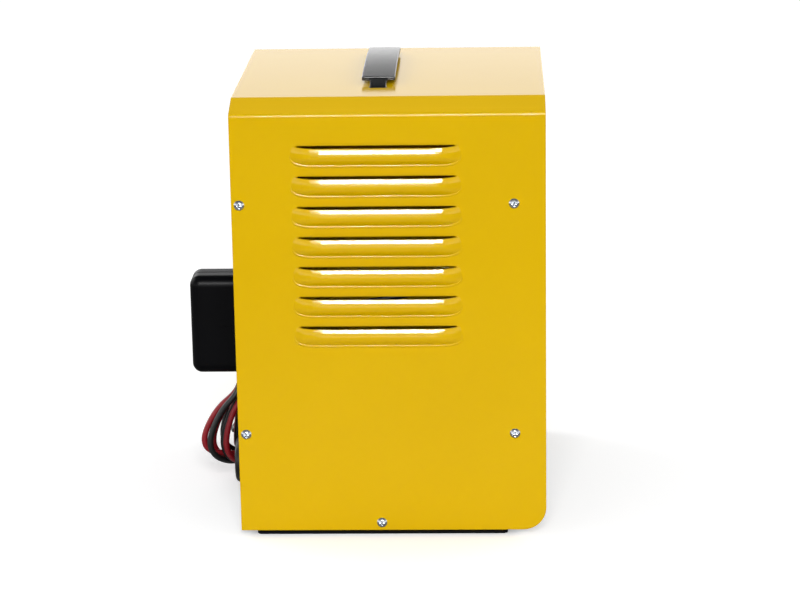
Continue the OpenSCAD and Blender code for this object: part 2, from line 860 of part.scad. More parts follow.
module hank_tie() {
    y0 = front_y - 11.3;
    y1 = front_y - 1.2;
    top = hank_top + 0.1;
    color("#101012")
        translate([tie_x - tie_w / 2, y0, tie_z])
            difference() {
                translate([0, -tie_t, -tie_t])
                    cube([tie_w, y1 - y0 + 2 * tie_t, top - tie_z + 2 * tie_t]);
                translate([-1, 0, 0]) cube([tie_w + 2, y1 - y0, top - tie_z]);
            }
}

module clamp_rest() {
    x0 = black_x - fin_t / 2;
    x1 = red_x + fin_t / 2;
    reach = panel_y - (front_y - clamp_gap - clamp_w);
    color("#a9acb0")
        difference() {
            union() {
                translate([x0, panel_y - fin_t, fin_z]) cube([x1 - x0, fin_t, fin_h]);
                for (x = [x0, x1 - fin_t])
                    translate([x, panel_y - reach, fin_z]) cube([fin_t, reach, fin_h]);
            }
            for (x = rest_holes())
                rod_y(x, fin_z + fin_h / 2, shank_d / 2 + hole_gap / 2, panel_y - fin_t - 1, panel_y + 1);
        }
}

// Side of one jaw with its handle, drawn in X and Z round the rivet
module jaw_side() {
    across_end = [cos(handle_a), sin(handle_a)] * handle_half;
    teeth = [for (k = [0:4]) each [[grip + 1.3, 26.5 + 3 * k], [grip, 28 + 3 * k]]];
    polygon(concat(
        [[grip, jaw_tip], [grip + 2.5, jaw_tip + 1], [7.4, 37], [12, 27], [14, 17], [13.6, 8], [12.8, 0]],
        [handle_top + across_end, handle_end + across_end, handle_end - across_end, handle_top - across_end],
        [[0, -6.5], [0, 6.5], [8, 11], [8.6, 17], [6.4, 22], [grip, 25]],
        teeth
    ));
    circle(r = 6.5, $fn = 48);
}

// One jaw: a folded channel with its web along the outer edge
module jaw(width) {
    difference() {
        along_y(-width / 2, width / 2) jaw_side();
        along_y(-width / 2 + clamp_t, width / 2 - clamp_t)
            translate([-clamp_t, 0]) {
                jaw_side();
                translate([-20, -60]) square([20, 110]);
            }
        rod_y(0, 0, rivet_d / 2 + run, -width, width);
    }
}

// Plastic sleeve over a handle
module sleeve(width) {
    w = 2 * (handle_half + sleeve_gap);
    d = width + 2 * sleeve_gap;
    length = handle_len - sleeve_start + 1.5;
    translate([handle_end[0], 0, handle_end[1]])
        rotate([0, -handle_a, 0])
            translate([0, 0, -1.5])
                difference() {
                    linear_extrude(length)
                        polygon(rounded_box(w + 2 * sleeve_t, d + 2 * sleeve_t, 3, 4));
                    translate([0, 0, -1])
                        linear_extrude(length + 2)
                            square([w, d], center = true);
                }
}

// Rivet through both jaws
module rivet() {
    half = clamp_w / 2 + run;
    rod_y(0, 0, rivet_d / 2, -half - 0.2, half + 0.2);
    rod_y(0, 0, rivet_d / 2 + 1.2, -half - 1.2, -half);
    rod_y(0, 0, rivet_d / 2 + 1.2, half, half + 1.2);
}

// Wound spring round the rivet, between the inner jaw's ears
module spring() {
    wire = 1.1;
    steps = 40;
    start_a = 30;
    end_a = 162.5 + 3 * 360;
    coil_r = rivet_d / 2 + wire / 2 + 0.4;
    half = (inner_w - 2 * clamp_t - wire - 0.8) / 2;
    coil = [for (i = [0:steps])
        let (a = start_a + (end_a - start_a) * i / steps)
        [coil_r * cos(a), half * (2 * i / steps - 1), coil_r * sin(a)]];
    tube(concat(
        [coil[0] + 18.5 * [sin(start_a), 0, -cos(start_a)], coil[0] + 2 * [sin(start_a), 0, -cos(start_a)]],
        coil,
        [coil[steps] + 2 * [-sin(end_a), 0, cos(end_a)], coil[steps] + 12 * [-sin(end_a), 0, cos(end_a)]]
    ), wire, 6, [0, 1, 0]);
}

module at_clamp(x) {
    translate([x, clamp_y, rivet_z]) children();
}

module red_fixed_jaw() {
    color("#b5b7ba") at_clamp(red_x) jaw(clamp_w);
}

module red_moving_jaw() {
    color("#b5b7ba") at_clamp(red_x) mirror([1, 0, 0]) jaw(inner_w);
}

module red_fixed_sleeve() {
    color("#c01020") at_clamp(red_x) sleeve(clamp_w);
}

module red_moving_sleeve() {
    color("#c01020") at_clamp(red_x) mirror([1, 0, 0]) sleeve(inner_w);
}

module red_rivet() {
    color("#8d8f92") at_clamp(red_x) rivet();
}

module red_spring() {
    color("#6d6f72") at_clamp(red_x) spring();
}

module black_fixed_jaw() {
    color("#b5b7ba") at_clamp(black_x) jaw(clamp_w);
}

module black_moving_jaw() {
    color("#b5b7ba") at_clamp(black_x) mirror([1, 0, 0]) jaw(inner_w);
}

module black_fixed_sleeve() {
    color("#18181a") at_clamp(black_x) sleeve(clamp_w);
}

module black_moving_sleeve() {
    color("#18181a") at_clamp(black_x) mirror([1, 0, 0]) sleeve(inner_w);
}

module black_rivet() {
    color("#8d8f92") at_clamp(black_x) rivet();
}

module black_spring() {
    color("#6d6f72") at_clamp(black_x) spring();
}

// Tapered knob with finger flutes and a pointer ridge
module selector_knob() {
    h = knob_out + front_inset - 0.5;
    r0 = knob_d / 2;
    r1 = r0 - 3;
    color("#121214")
        face_front(knob_x, panel_y - 0.5, base_z + knob_z)
            difference() {
                union() {
                    rotate_extrude($fn = 64)
                        polygon([
                            [0, 0], [r0, 0], [r0, 1.5], [r1 + 0.8, h - 3], [r1, h - 1.4],
                            [r1 - 1.4, h - 0.4], [r1 - 3, h - 0.2], [r1 - 6, h - 1.2], [0, h - 1.2]
                        ]);
                    translate([-1.5, 0, h - 2]) cube([3, r1 - 3, 1.8]);
                }
                for (a = [0:30:330])
                    rotate([0, 0, a + 15])
                        translate([r0 + 1.2, 0, 2.2]) cylinder(r = 2.6, h = h, $fn = 24);
                translate([0, 0, -1]) cylinder(d = knob_shaft_d + 2 * run, h = h - 2.5, $fn = 32);
                translate([0, 0, -1]) cylinder(d = knob_bush_d + 3, h = 4.5, $fn = 32);
            }
}

module selector_shaft() {
    color("#b9bcc0")
        rod_y(knob_x, base_z + knob_z, knob_shaft_d / 2, panel_y - knob_out + 4, panel_in + 11.5);
}

module selector_switch() {
    z = base_z + knob_z;
    color("#2b2b2e") {
        difference() {
            union() {
                rod_y(knob_x, z, knob_bush_d / 2, panel_y - 2.5, panel_in + 0.1);
                rod_y(knob_x, z, 17, panel_in, panel_in + 26);
            }
            rod_y(knob_x, z, knob_shaft_d / 2 + run, panel_y - 3, panel_in + 12);
        }
        for (a = [0:60:300])
            translate([knob_x + 12 * cos(a), panel_in + 25.9, z + 12 * sin(a)])
                translate([-2, 0, -0.4]) cube([4, 8, 0.8]);
    }
}

// Bezel, box and tags of a rocker switch
module rocker_switch(z) {
    zc = base_z + z;
    color("#1a1a1c")
        difference() {
            union() {
                along_y(panel_y - bezel_t, panel_y)
                    translate([switch_x, zc]) polygon(rounded_box(bezel_w, bezel_h, 2, 4));
                translate([switch_x - 9.2, panel_y - 0.1, zc - 12.9])
                    cube([18.4, 21, 25.8]);
                for (k = [-1, 0, 1])
                    translate([switch_x - 3.2, panel_y + 20.8, zc + 7 * k - 0.4])
                        cube([6.4, 8, 0.8]);
            }
            translate([switch_x - rocker_w / 2 - 0.4, panel_y - bezel_t - 1, zc - rocker_r - 0.4])
                cube([rocker_w + 0.8, 15.8 + bezel_t, 2 * rocker_r + 0.8]);
            translate([switch_x - 8.4, rocker_y, zc])
                rotate([0, 90, 0]) cylinder(r = 1.5 + run, h = 16.8, $fn = 24);
        }
}

// Rocker that tips about a pin across the switch, its upper end out at rest
module rocker(z) {
    along_x(-rocker_w / 2, rocker_w / 2)
        intersection() {
            circle(r = rocker_r, $fn = 72);
            rotate(rocker_a)
                polygon([
                    [-rocker_face, 0], [-rocker_face - 14 * tan(rocker_a), 16], [16, 16],
                    [16, -16], [-rocker_face - 14 * tan(rocker_a), -16]
                ]);
        }
    translate([-8.2, 0, 0]) rotate([0, 90, 0]) cylinder(r = 1.5, h = 16.4, $fn = 24);
}

module power_switch() {
    rocker_switch(power_z);
}

module power_rocker() {
    color("#b01218") translate([switch_x, rocker_y, base_z + power_z]) rocker();
}

module voltage_switch() {
    rocker_switch(volt_z);
}

module voltage_rocker() {
    color("#141416") translate([switch_x, rocker_y, base_z + volt_z]) rocker();
}

module thermal_breaker() {
    z = base_z + reset_z;
    color("#222225")
        difference() {
            union() {
                rod_y(switch_x, z, 5.8, panel_y - 2.5, panel_in + 6);
                rod_y(switch_x, z, 8, panel_y - 1.6, panel_y);
                translate([switch_x - 8, panel_in + 5.9, z - 14]) cube([16, 24, 28]);
                for (k = [-1, 1])
                    translate([switch_x - 3.2, panel_in + 29.8, z + 8 * k - 0.4]) cube([6.4, 8, 0.8]);
            }
            rod_y(switch_x, z, button_r - 0.8 + run, panel_y - 4, panel_y + 12);
        }
}

module reset_button() {
    z = base_z + reset_z;
    color("#a01016")
        rod_y(switch_x, z, button_r - 0.8, panel_y - 5.4, panel_y + 8);
}

module lamp(z) {
    face_front(-lamp_x, panel_y, z) {
        rotate_extrude($fn = 32)
            polygon([
                [0, -14], [lamp_d / 2, -14], [lamp_d / 2, 0], [lamp_d / 2 + 1.5, 0], [lamp_d / 2 + 1.5, 1],
                [lamp_d / 2 + 0.5, 1.8], [lamp_d / 2, 2.6], [lamp_d / 2 - 1, 3.8], [lamp_d / 2 - 2.4, 4.5], [0, 4.8]
            ]);
    }
}

module power_lamp() {
    color("#1f9a3c") lamp(base_z + lamp_z);
}

module charge_lamp() {
    color("#c21a1a") lamp(base_z + lamp_z - lamp_step);
}

module meter_case() {
    z = meter_mid;
    color("#1b1b1d")
        difference() {
            union() {
                along_y(panel_y - meter_base_t, panel_y)
                    translate([0, z]) polygon(rounded_box(meter_w, meter_h, 4, 5));
                rod_y(0, z, meter_can_d / 2, panel_y - 0.1, panel_in + 32);
                for (x = [-18, 18])
                    rod_y(x, z, 2.5, panel_in + 31.9, panel_in + 42);
                // Hood over the movement, inside the window
                translate([-meter_w / 2 + 4, hood_y, z - meter_h / 2 + 4])
                    cube([meter_w - 8, dial_y - hood_y + 0.1, 9]);
            }
            rod_y(0, needle_z, 2 + run, panel_y - meter_base_t - 1, panel_y + 4);
        }
}

module meter_dial() {
    low = meter_mid - meter_h / 2 + 13.3;
    color("#f2f1ec")
        along_y(dial_y - dial_t, dial_y)
            difference() {
                translate([0, (low + meter_mid + meter_h / 2 - 4) / 2])
                    polygon(rounded_box(meter_w - 9, meter_mid + meter_h / 2 - 4 - low, 2, 4));
                translate([0, needle_z]) circle(r = 3, $fn = 32);
            }
}

module meter_needle() {
    color("#101010")
        union() {
            rod_y(0, needle_z, 2, needle_y - 0.8, panel_y + 2);
            translate([0, needle_y, needle_z])
                rotate([0, -needle_rest, 0])
                    along_y(-0.4, 0.4)
                        polygon([[-0.9, -3], [0.9, -3], [0.9, 8], [0.25, needle_len], [-0.25, needle_len], [-0.9, 8]]);
        }
}

module meter_window() {
    z = meter_mid;
    face = front_y - meter_out;
    color([0.85, 0.9, 0.92, 0.35])
        difference() {
            along_y(face, dial_y)
                translate([0, z]) polygon(rounded_box(meter_w, meter_h, 4, 5));
            along_y(face + meter_wall, dial_y + 1)
                translate([0, z]) polygon(rounded_box(meter_w - 2 * meter_wall, meter_h - 2 * meter_wall, 2.4, 5));
        }
}

module mains_gland() {
    r = gland_bore / 2;
    color("#19191b")
        translate([gland_x, gland_y, gland_mid])
            rotate([-90, 0, 0])
                difference() {
                    union() {
                        translate([0, 0, -10]) cylinder(r = 8, h = 11, $fn = 48);
                        cylinder(r = 12, h = 4, $fn = 6);
                        translate([0, 0, 3.9])
                            rotate_extrude($fn = 48)
                                polygon([[0, 0], [10, 0], [10, 7], [8.6, 10.6], [7, 12], [0, 12]]);
                    }
                    translate([0, 0, -11]) cylinder(r = r, h = 30, $fn = 48);
                }
}

module gland_nut() {
    color("#19191b")
        translate([gland_x, back_in, gland_mid])
            rotate([90, 0, 0])
                difference() {
                    cylinder(r = 12, h = 5, $fn = 6);
                    translate([0, 0, -1]) cylinder(r = 8 + run, h = 7, $fn = 48);
                }
}

module terminal_block() {
    color("#dcd8c8")
        translate([gland_x - 24, back_in - 44, floor_z])
            difference() {
                cube([30, 16, 18]);
                for (k = [0:2])
                    translate([5 + 10 * k, 8, 8]) {
                        cylinder(r = 2.6, h = 11, $fn = 24);
                        translate([0, -9, 0]) rotate([-90, 0, 0]) cylinder(r = 2, h = 18, $fn = 24);
                    }
            }
}

module transformer_core() {
    z0 = core_z;
    color("#5b5d61")
        difference() {
            along_y(core_y - core_d / 2, core_y + core_d / 2)
                translate([core_x, z0])
                    difference() {
                        translate([-core_w / 2, 0]) square([core_w, core_h]);
                        for (side = [-1, 1])
                            translate([side * (core_leg + window_w / 2) - window_w / 2, core_leg])
                                square([window_w, window_h]);
                    }
            for (x = [-bolt_x, bolt_x], z = [-bolt_dz, bolt_dz])
                rod_y(core_x + x, z0 + core_h / 2 + z, bolt_d / 2 + loose, core_y - core_d, core_y + core_d);
        }
}

module core_angles() {
    mid = core_z + core_h / 2;
    color("#8f9296")
        difference() {
            for (side = [0, 1], up = [0, 1])
                translate([core_x, core_y, mid])
                    mirror([0, side, 0])
                        mirror([0, 0, up])
                            translate([-core_w / 2, core_d / 2, -core_h / 2]) {
                                cube([core_w, angle_t, core_leg - 1]);
                                cube([core_w, angle_t + angle_w, angle_t]);
                            }
            for (x = [-bolt_x, bolt_x], z = [-bolt_dz, bolt_dz])
                rod_y(core_x + x, mid + z, bolt_d / 2 + loose, core_y - core_d, core_y + core_d);
            for (p = angle_screws())
                translate([p[0], p[1], core_z - 1])
                    cylinder(d = shank_d + hole_gap, h = angle_t + 2, $fn = 24);
        }
}

module core_bolts() {
    reach = core_d / 2 + angle_t;
    color("#a9acb0")
        for (x = [-bolt_x, bolt_x], z = [-bolt_dz, bolt_dz])
            translate([core_x + x, core_y, core_z + core_h / 2 + z])
                rotate([90, 0, 0]) {
                    translate([0, 0, -reach - 6]) cylinder(d = bolt_d, h = 2 * reach + 8, $fn = 32);
                    translate([0, 0, reach]) cylinder(r = bolt_d * 0.85, h = 3.5, $fn = 6);
                    translate([0, 0, -reach - 4]) cylinder(r = bolt_d * 0.85, h = 4, $fn = 6);
                }
}

// A block that wraps the centre leg of the core, as wide and as deep as its outside
module wrap(in_x, in_y, out_x, out_y, r, z0, h) {
    translate([core_x, core_y, z0])
        linear_extrude(h)
            difference() {
                polygon(rounded_box(2 * out_x, 2 * out_y, r, 6));
                square([2 * in_x, 2 * in_y], center = true);
            }
}

module coil_former() {
    leg = core_leg + loose;
    deep = core_d / 2 + loose;
    z0 = core_z + core_leg + loose;
    h = window_h - 2 * loose;
    flange_y = core_d / 2 + coil_half - core_leg + 2;
    color("#d9d2b8") {
        wrap(leg, deep, leg + former_t, deep + former_t, 0.8, z0, h);
        for (z = [z0, z0 + h - former_t])
            wrap(leg, deep, coil_half + 1, flange_y, 4, z, former_t);
    }
}

module winding(t0, t1, r) {
    base = core_leg + loose + former_t;
    deep = core_d / 2 + loose + former_t;
    z0 = core_z + core_leg + loose + former_t + 0.2;
    h = window_h - 2 * loose - 2 * former_t - 0.4;
    wrap(base + t0, deep + t0, base + t1, deep + t1, r, z0, h);
}

module primary_winding() {
    color("#a4642c") winding(0.2, coil_room * 0.465, 6);
}

module secondary_winding() {
    color("#c9a44c") winding(coil_room * 0.5, coil_room, 3);
}

module rectifier_plate() {
    color("#b9bcc0")
        difference() {
            translate([-plate_w / 2, plate_front, plate_low]) cube([plate_w, plate_t, plate_h]);
            for (x = [-plate_hole_x, plate_hole_x], z = [-plate_hole_z, plate_hole_z])
                rod_y(x, plate_low + plate_h / 2 + z, shank_d / 2 + hole_gap / 2, plate_front - 1, plate_back + 1);
            for (k = [-1.5:1:1.5])
                rod_y(k * diode_x / 1.5, diode_z, 6.4 + run, plate_front - 1, plate_back + 1);
            for (x = [-post_x, post_x])
                rod_y(x, post_z, 3.4, plate_front - 1, plate_back + 1);
        }
}

module rectifier_diodes() {
    color("#8b8e92")
        for (k = [-1.5:1:1.5]) {
            x = k * diode_x / 1.5;
            rod_y(x, diode_z, 6.4, plate_front - 2, plate_back + 4);
            rod_y(x, diode_z, 7.4, plate_back, plate_back + 2);
            rod_y(x, diode_z, 1.5, plate_front - 6, plate_front - 1.9);
        }
}

module plate_spacers() {
    color("#a9acb0")
        difference() {
            for (x = [-plate_hole_x, plate_hole_x], z = [-plate_hole_z, plate_hole_z])
                rod_y(x, plate_low + plate_h / 2 + z, 4, plate_back, back_in);
            for (x = [-plate_hole_x, plate_hole_x], z = [-plate_hole_z, plate_hole_z])
                rod_y(x, plate_low + plate_h / 2 + z, shank_d / 2 + run, plate_back - 1, back_in + 1);
        }
}

// Insulated studs through the plate
module output_posts() {
    color("#b08d3a")
        for (x = [-post_x, post_x]) {
            rod_y(x, post_z, 3, plate_front - 14, plate_back + 5);
            rod_y(x, post_z, 7, plate_front - 2.5, plate_front);
            rod_y(x, post_z, 7, plate_back, plate_back + 2.5);
        }
}

// Fuse strip from a post to its own terminal
module fuse_strip() {
    color("#c0a060")
        difference() {
            translate([post_x - 7, plate_front - 4, post_z - 7]) cube([14, 1.5, 14]);
            rod_y(post_x, post_z, 3 + run, plate_front - 6, plate_front);
        }
}

// Flat link that joins the diodes' leads
module secondary_links() {
    color("#b87040")
        difference() {
            translate([-diode_x - 7, plate_front - 6, diode_z - 5]) cube([2 * diode_x + 14, 1.5, 10]);
            for (k = [-1.5:1:1.5])
                rod_y(k * diode_x / 1.5, diode_z, 1.5 + run, plate_front - 8, plate_front - 3);
        }
}

// The two heavy cables from the posts to the grommet
module output_cables() {
    color("#222224")
        for (side = [-1, 1]) {
            y0 = plate_front - 11;
            y1 = panel_in + 6;
            tube([
                [side * post_x, y0, post_z - 3.4], [side * post_x, y0 - 2, post_z - 12],
                [side * post_x * 0.94, y0 - 10, post_z - 21], [side * post_x * 0.84, y0 - 24, post_z - 27],
                [side * post_x * 0.7, (y0 + y1) / 2, (post_z - 30 + housing_mid) / 2],
                [side * 12, y1 + 28, housing_mid + 1], [side * 5, y1 + 12, housing_mid],
                [side * 2.7, y1, housing_mid], [side * 2.7, panel_y - 6, housing_mid]
            ], lead_d, 8);
        }
}

cover();
chassis();
runners();
handle_strap();
cover_screws();
chassis_screws();
housing_right();
housing_left();
housing_screws();
lead_grommet();
red_lead();
black_lead();
lead_hank();
hank_tie();
clamp_rest();
red_fixed_jaw();
red_moving_jaw();
red_fixed_sleeve();
red_moving_sleeve();
red_rivet();
red_spring();
black_fixed_jaw();
black_moving_jaw();
black_fixed_sleeve();
black_moving_sleeve();
black_rivet();
black_spring();
selector_knob();
selector_shaft();
selector_switch();
power_switch();
power_rocker();
voltage_switch();
voltage_rocker();
thermal_breaker();
reset_button();
power_lamp();
charge_lamp();
meter_case();
meter_dial();
meter_needle();
meter_window();
mains_gland();
gland_nut();
terminal_block();
transformer_core();
core_angles();
core_bolts();
coil_former();
primary_winding();
secondary_winding();
rectifier_plate();
rectifier_diodes();
plate_spacers();
output_posts();
fuse_strip();
secondary_links();
output_cables();
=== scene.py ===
# %% [markdown]
# # A battery charger with a starting boost
#
# This notebook dresses a finished CAD model for a studio picture. The CAD holds every solid at its true size,
# so the work here is what the eye sees: paint, moulded plastic, plated steel and the two battery leads.
# A picture scene could be modelled from nothing, but then it would drift from the real sizes.
# Loading the CAD as a fixed frame keeps both the same.

# %% Load the frame
import math

import bpy
import numpy as np
from mathutils import Matrix, Vector


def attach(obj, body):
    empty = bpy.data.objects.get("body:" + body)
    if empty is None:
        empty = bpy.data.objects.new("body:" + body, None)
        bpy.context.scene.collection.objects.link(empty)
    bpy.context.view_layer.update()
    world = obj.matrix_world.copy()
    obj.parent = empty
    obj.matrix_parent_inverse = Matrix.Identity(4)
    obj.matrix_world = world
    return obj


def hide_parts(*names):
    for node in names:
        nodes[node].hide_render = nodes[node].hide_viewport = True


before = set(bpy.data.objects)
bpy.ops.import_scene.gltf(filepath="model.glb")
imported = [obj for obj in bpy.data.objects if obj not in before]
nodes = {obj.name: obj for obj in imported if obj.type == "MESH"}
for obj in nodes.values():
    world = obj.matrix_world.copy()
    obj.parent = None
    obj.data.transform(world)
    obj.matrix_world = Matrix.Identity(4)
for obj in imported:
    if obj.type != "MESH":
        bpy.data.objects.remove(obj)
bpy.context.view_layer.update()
METRE = 1000.0  # in millimetres: sizes are written in millimetres, and the scene is in metres

# %% [markdown]
# ## The camera
#
# The picture was taken from the charger's right, a little above it, with a long lens: the upright edges hardly
# converge. A camera can be placed by eye, but a fit of the case's straight edges gives its place and its three
# turns at once, so those numbers are used. The long lens is what makes the side look almost flat.

# %% Place the camera
CAMERA_PLACE = (2.1154, 0.10565, 0.7361)  # m
CAMERA_LENS, CAMERA_SENSOR = 120.5, 36  # mm
YAW, PITCH, ROLL = math.radians(2.13), math.radians(15.32), math.radians(0.93)


def camera_turn(yaw, pitch, roll):
    """Looks along -X, then turns about Z by yaw, about its own right axis by -pitch and about its view by roll."""
    ahead, right, up = Vector((-1, 0, 0)), Vector((0, 1, 0)), Vector((0, 0, 1))
    turn = Matrix.Rotation(yaw, 3, up)
    ahead, right = turn @ ahead, turn @ right
    turn = Matrix.Rotation(-pitch, 3, right)
    ahead, up = turn @ ahead, turn @ up
    turn = Matrix.Rotation(roll, 3, ahead)
    right, up = turn @ right, turn @ up
    return Matrix((right, up, -ahead)).transposed()


camera_data = bpy.data.cameras.new("studio_camera")
camera_data.sensor_width = CAMERA_SENSOR
camera_data.lens = CAMERA_LENS
camera = bpy.data.objects.new("studio_camera", camera_data)
bpy.context.collection.objects.link(camera)
camera.matrix_world = Matrix.Translation(CAMERA_PLACE) @ camera_turn(YAW, PITCH, ROLL).to_4x4()
bpy.context.scene.camera = camera
print("camera is", round(Vector(CAMERA_PLACE).length, 2), "m from the charger")

# %% [markdown]
# ## Surfaces from grids of points
#
# Every new piece is a grid: rows run along it and columns run round it. One helper turns a grid into a closed
# mesh, and another carries a flat outline along a path. Blender's own cubes and cylinders would be quicker, but
# their edges stay knife sharp, and a real moulding never has one.

# %% Turn grids into meshes
SHARP_EDGE = math.radians(50)  # an edge that turns more than this isn't smoothed


def grid_faces(rows, columns, round_rows):
    """Four-cornered faces between neighbours of a grid; the columns always close, the rows if asked."""
    i = np.arange(rows if round_rows else rows - 1)[:, None]
    j = np.arange(columns)[None, :]
    ahead, beside = (i + 1) % rows, (j + 1) % columns
    corners = [i * columns + j, i * columns + beside, ahead * columns + beside, ahead * columns + j]
    return np.stack(corners, -1).reshape(-1, 4)


def inside_out(points, faces):
    """True where the sum of the faces' signed volumes against the middle is negative."""
    a, b, c, d = (points[faces[:, k]] - points.mean(0) for k in range(4))
    return (np.cross(b - a, c - a) * a).sum() + (np.cross(c - a, d - a) * a).sum() < 0


def piece(name, grids, body, material):
    """One object from (grid, rows close) pairs. A grid whose rows don't close gets a flat cap at each end."""
    points, faces, first = [], [], 0
    for grid, round_rows in grids:
        rows, columns = grid.shape[:2]
        spots = grid.reshape(-1, 3)
        quads = grid_faces(rows, columns, round_rows)
        flip = inside_out(spots, quads)
        quads = quads[:, ::-1] if flip else quads
        faces += (quads + first).tolist()
        if not round_rows:
            ends = [list(range(columns - 1, -1, -1)), list(range((rows - 1) * columns, rows * columns))]
            faces += [[first + k for k in (end[::-1] if flip else end)] for end in ends]
        points.append(spots)
        first += len(spots)
    mesh = bpy.data.meshes.new(name)
    mesh.from_pydata((np.concatenate(points) / METRE).tolist(), [], faces)
    mesh.shade_smooth()
    mesh.set_sharp_from_angle(angle=SHARP_EDGE)
    mesh.update()
    made = bpy.data.objects.new(name, mesh)
    bpy.context.collection.objects.link(made)
    made.data.materials.append(material)
    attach(made, body)
    print(name, len(mesh.vertices), "points")
    return made


def box_outline(width, height, radius, steps=5):
    """Points round a rectangle with round corners, anticlockwise: a quarter turn of cosine and sine at each."""
    turn = np.linspace(0, math.pi / 2, steps + 1)
    corners = []
    for k, (sx, sy) in enumerate(((1, 1), (-1, 1), (-1, -1), (1, -1))):
        angle = turn + k * math.pi / 2
        centre = np.array([sx * (width / 2 - radius), sy * (height / 2 - radius)])
        corners.append(centre + radius * np.stack([np.cos(angle), np.sin(angle)], -1))
    return np.concatenate(corners)


def turned(profile, centre, steps=48):
    """A lathe surface: radius and height pairs, carried round an axis along Y. The height counts towards -Y."""
    angle = np.linspace(0, 2 * math.pi, steps, endpoint=False)
    r, h = np.array(profile, float).T
    x, z = r[:, None] * np.cos(angle), r[:, None] * np.sin(angle)
    h = np.broadcast_to(h[:, None], x.shape)
    return np.stack([x, -h, z], -1) + np.array(centre, float)


# %% [markdown]
# ## Finishes
#
# Each finish starts from the real one: powder coat, moulded plastic, soft vinyl, zinc plate. Image textures could
# carry the grain, but they need a flat layout of every surface. Noise that is worked out in the object's own
# metres needs none, and it keeps its true size on every piece.

# %% A helper for shader nodes
def linear(colour):
    """sRGB hex to linear RGBA: below 0.04045 a straight line, above it a power of 2.4."""
    value = np.array([int(colour[k:k + 2], 16) for k in (1, 3, 5)]) / 255
    value = np.where(value <= 0.04045, value / 12.92, ((value + 0.055) / 1.055) ** 2.4)
    return (*value.tolist(), 1.0)


def put(tree, kind, feeds=None, **settings):
    """Adds one node: settings are its properties, feeds its inputs as values or as the outputs to link."""
    made = tree.nodes.new(kind)
    for name, value in settings.items():
        setattr(made, name, value)
    for name, value in (feeds or {}).items():
        if isinstance(value, bpy.types.NodeSocket):
            tree.links.new(value, made.inputs[name])
        else:
            made.inputs[name].default_value = value
    return made


def finish(name, light, dark, mottle_mm, grain_mm, grain_deep, rough, rough_swing=0.05, stretch=(1, 1, 1), edge_mm=0,
           **shader):
    """A principled material: colour swings between two tones, roughness and a bump follow a finer noise.

    mottle_mm and grain_mm are the sizes of the two noises, grain_deep is the height of the bump, and edge_mm rounds
    the edges in the shader, all in millimetres.
    """
    material = bpy.data.materials.new(name)
    material.use_nodes = True
    tree = material.node_tree
    surface = tree.nodes["Principled BSDF"]
    place = put(tree, "ShaderNodeTexCoord").outputs["Object"]
    place = put(tree, "ShaderNodeMapping", {"Vector": place, "Scale": stretch}).outputs["Vector"]
    mottle = put(tree, "ShaderNodeTexNoise", {"Vector": place, "Scale": METRE / mottle_mm, "Detail": 3.0})
    grain = put(tree, "ShaderNodeTexNoise", {"Vector": place, "Scale": METRE / grain_mm, "Detail": 2.0})
    tone = put(tree, "ShaderNodeMix", {0: mottle.outputs["Fac"], 6: linear(dark), 7: linear(light)}, data_type="RGBA")
    swing = put(tree, "ShaderNodeMapRange",
                {"Value": grain.outputs["Fac"], "To Min": rough - rough_swing, "To Max": rough + rough_swing})
    bump = put(tree, "ShaderNodeBump", {"Height": grain.outputs["Fac"], "Strength": 0.6,
                                        "Distance": grain_deep / METRE})
    if edge_mm:
        rounded = put(tree, "ShaderNodeBevel", {"Radius": edge_mm / METRE}, samples=6)
        tree.links.new(rounded.outputs["Normal"], bump.inputs["Normal"])
    tree.links.new(tone.outputs[2], surface.inputs["Base Color"])
    tree.links.new(swing.outputs["Result"], surface.inputs["Roughness"])
    tree.links.new(bump.outputs["Normal"], surface.inputs["Normal"])
    for key, value in shader.items():
        surface.inputs[key.replace("_", " ")].default_value = value
    return material


# %% [markdown]
# ### Paint
#
# The cover is folded steel with a glossy yellow powder coat. Powder melts into a skin with a faint orange peel,
# about a millimetre from crest to crest, so a reflection in it is soft at its edge. It also flows thick over every
# bend, which a bevel in the shader shows without new faces. The chassis has a black coat of a finer, duller powder.

# %% Paint
GLOSS_COAT = {"Specular_IOR_Level": 0.15, "Coat_Weight": 0.28, "Coat_Roughness": 0.04}
# Light and dark tone; mottle, grain and height of the bump in mm; roughness and its swing.
YELLOW_COAT = finish("yellow powder coat", "#e8bc00", "#e0b400", 120, 1.4, 0.003, 0.13, 0.03, edge_mm=1.2,
                     **GLOSS_COAT)
BLACK_COAT = finish("black powder coat", "#161618", "#101012", 60, 0.7, 0.03, 0.45, 0.06)
print("paints:", YELLOW_COAT.name, "and", BLACK_COAT.name)

# %% [markdown]
# ### Plastics and rubber
#
# The strap, the lead housing and the controls are injection moulded. A spark-eroded mould leaves a grain of a few
# tenths of a millimetre, which spreads a highlight. Battery leads have a soft vinyl jacket: smoother, with a
# slow waver along it from the extruder. The clamp sleeves are dipped vinyl, so they are glossier. The runners are
# dull rubber, the hook tape is a dark nap, and ivory nylon is creamy and dull.

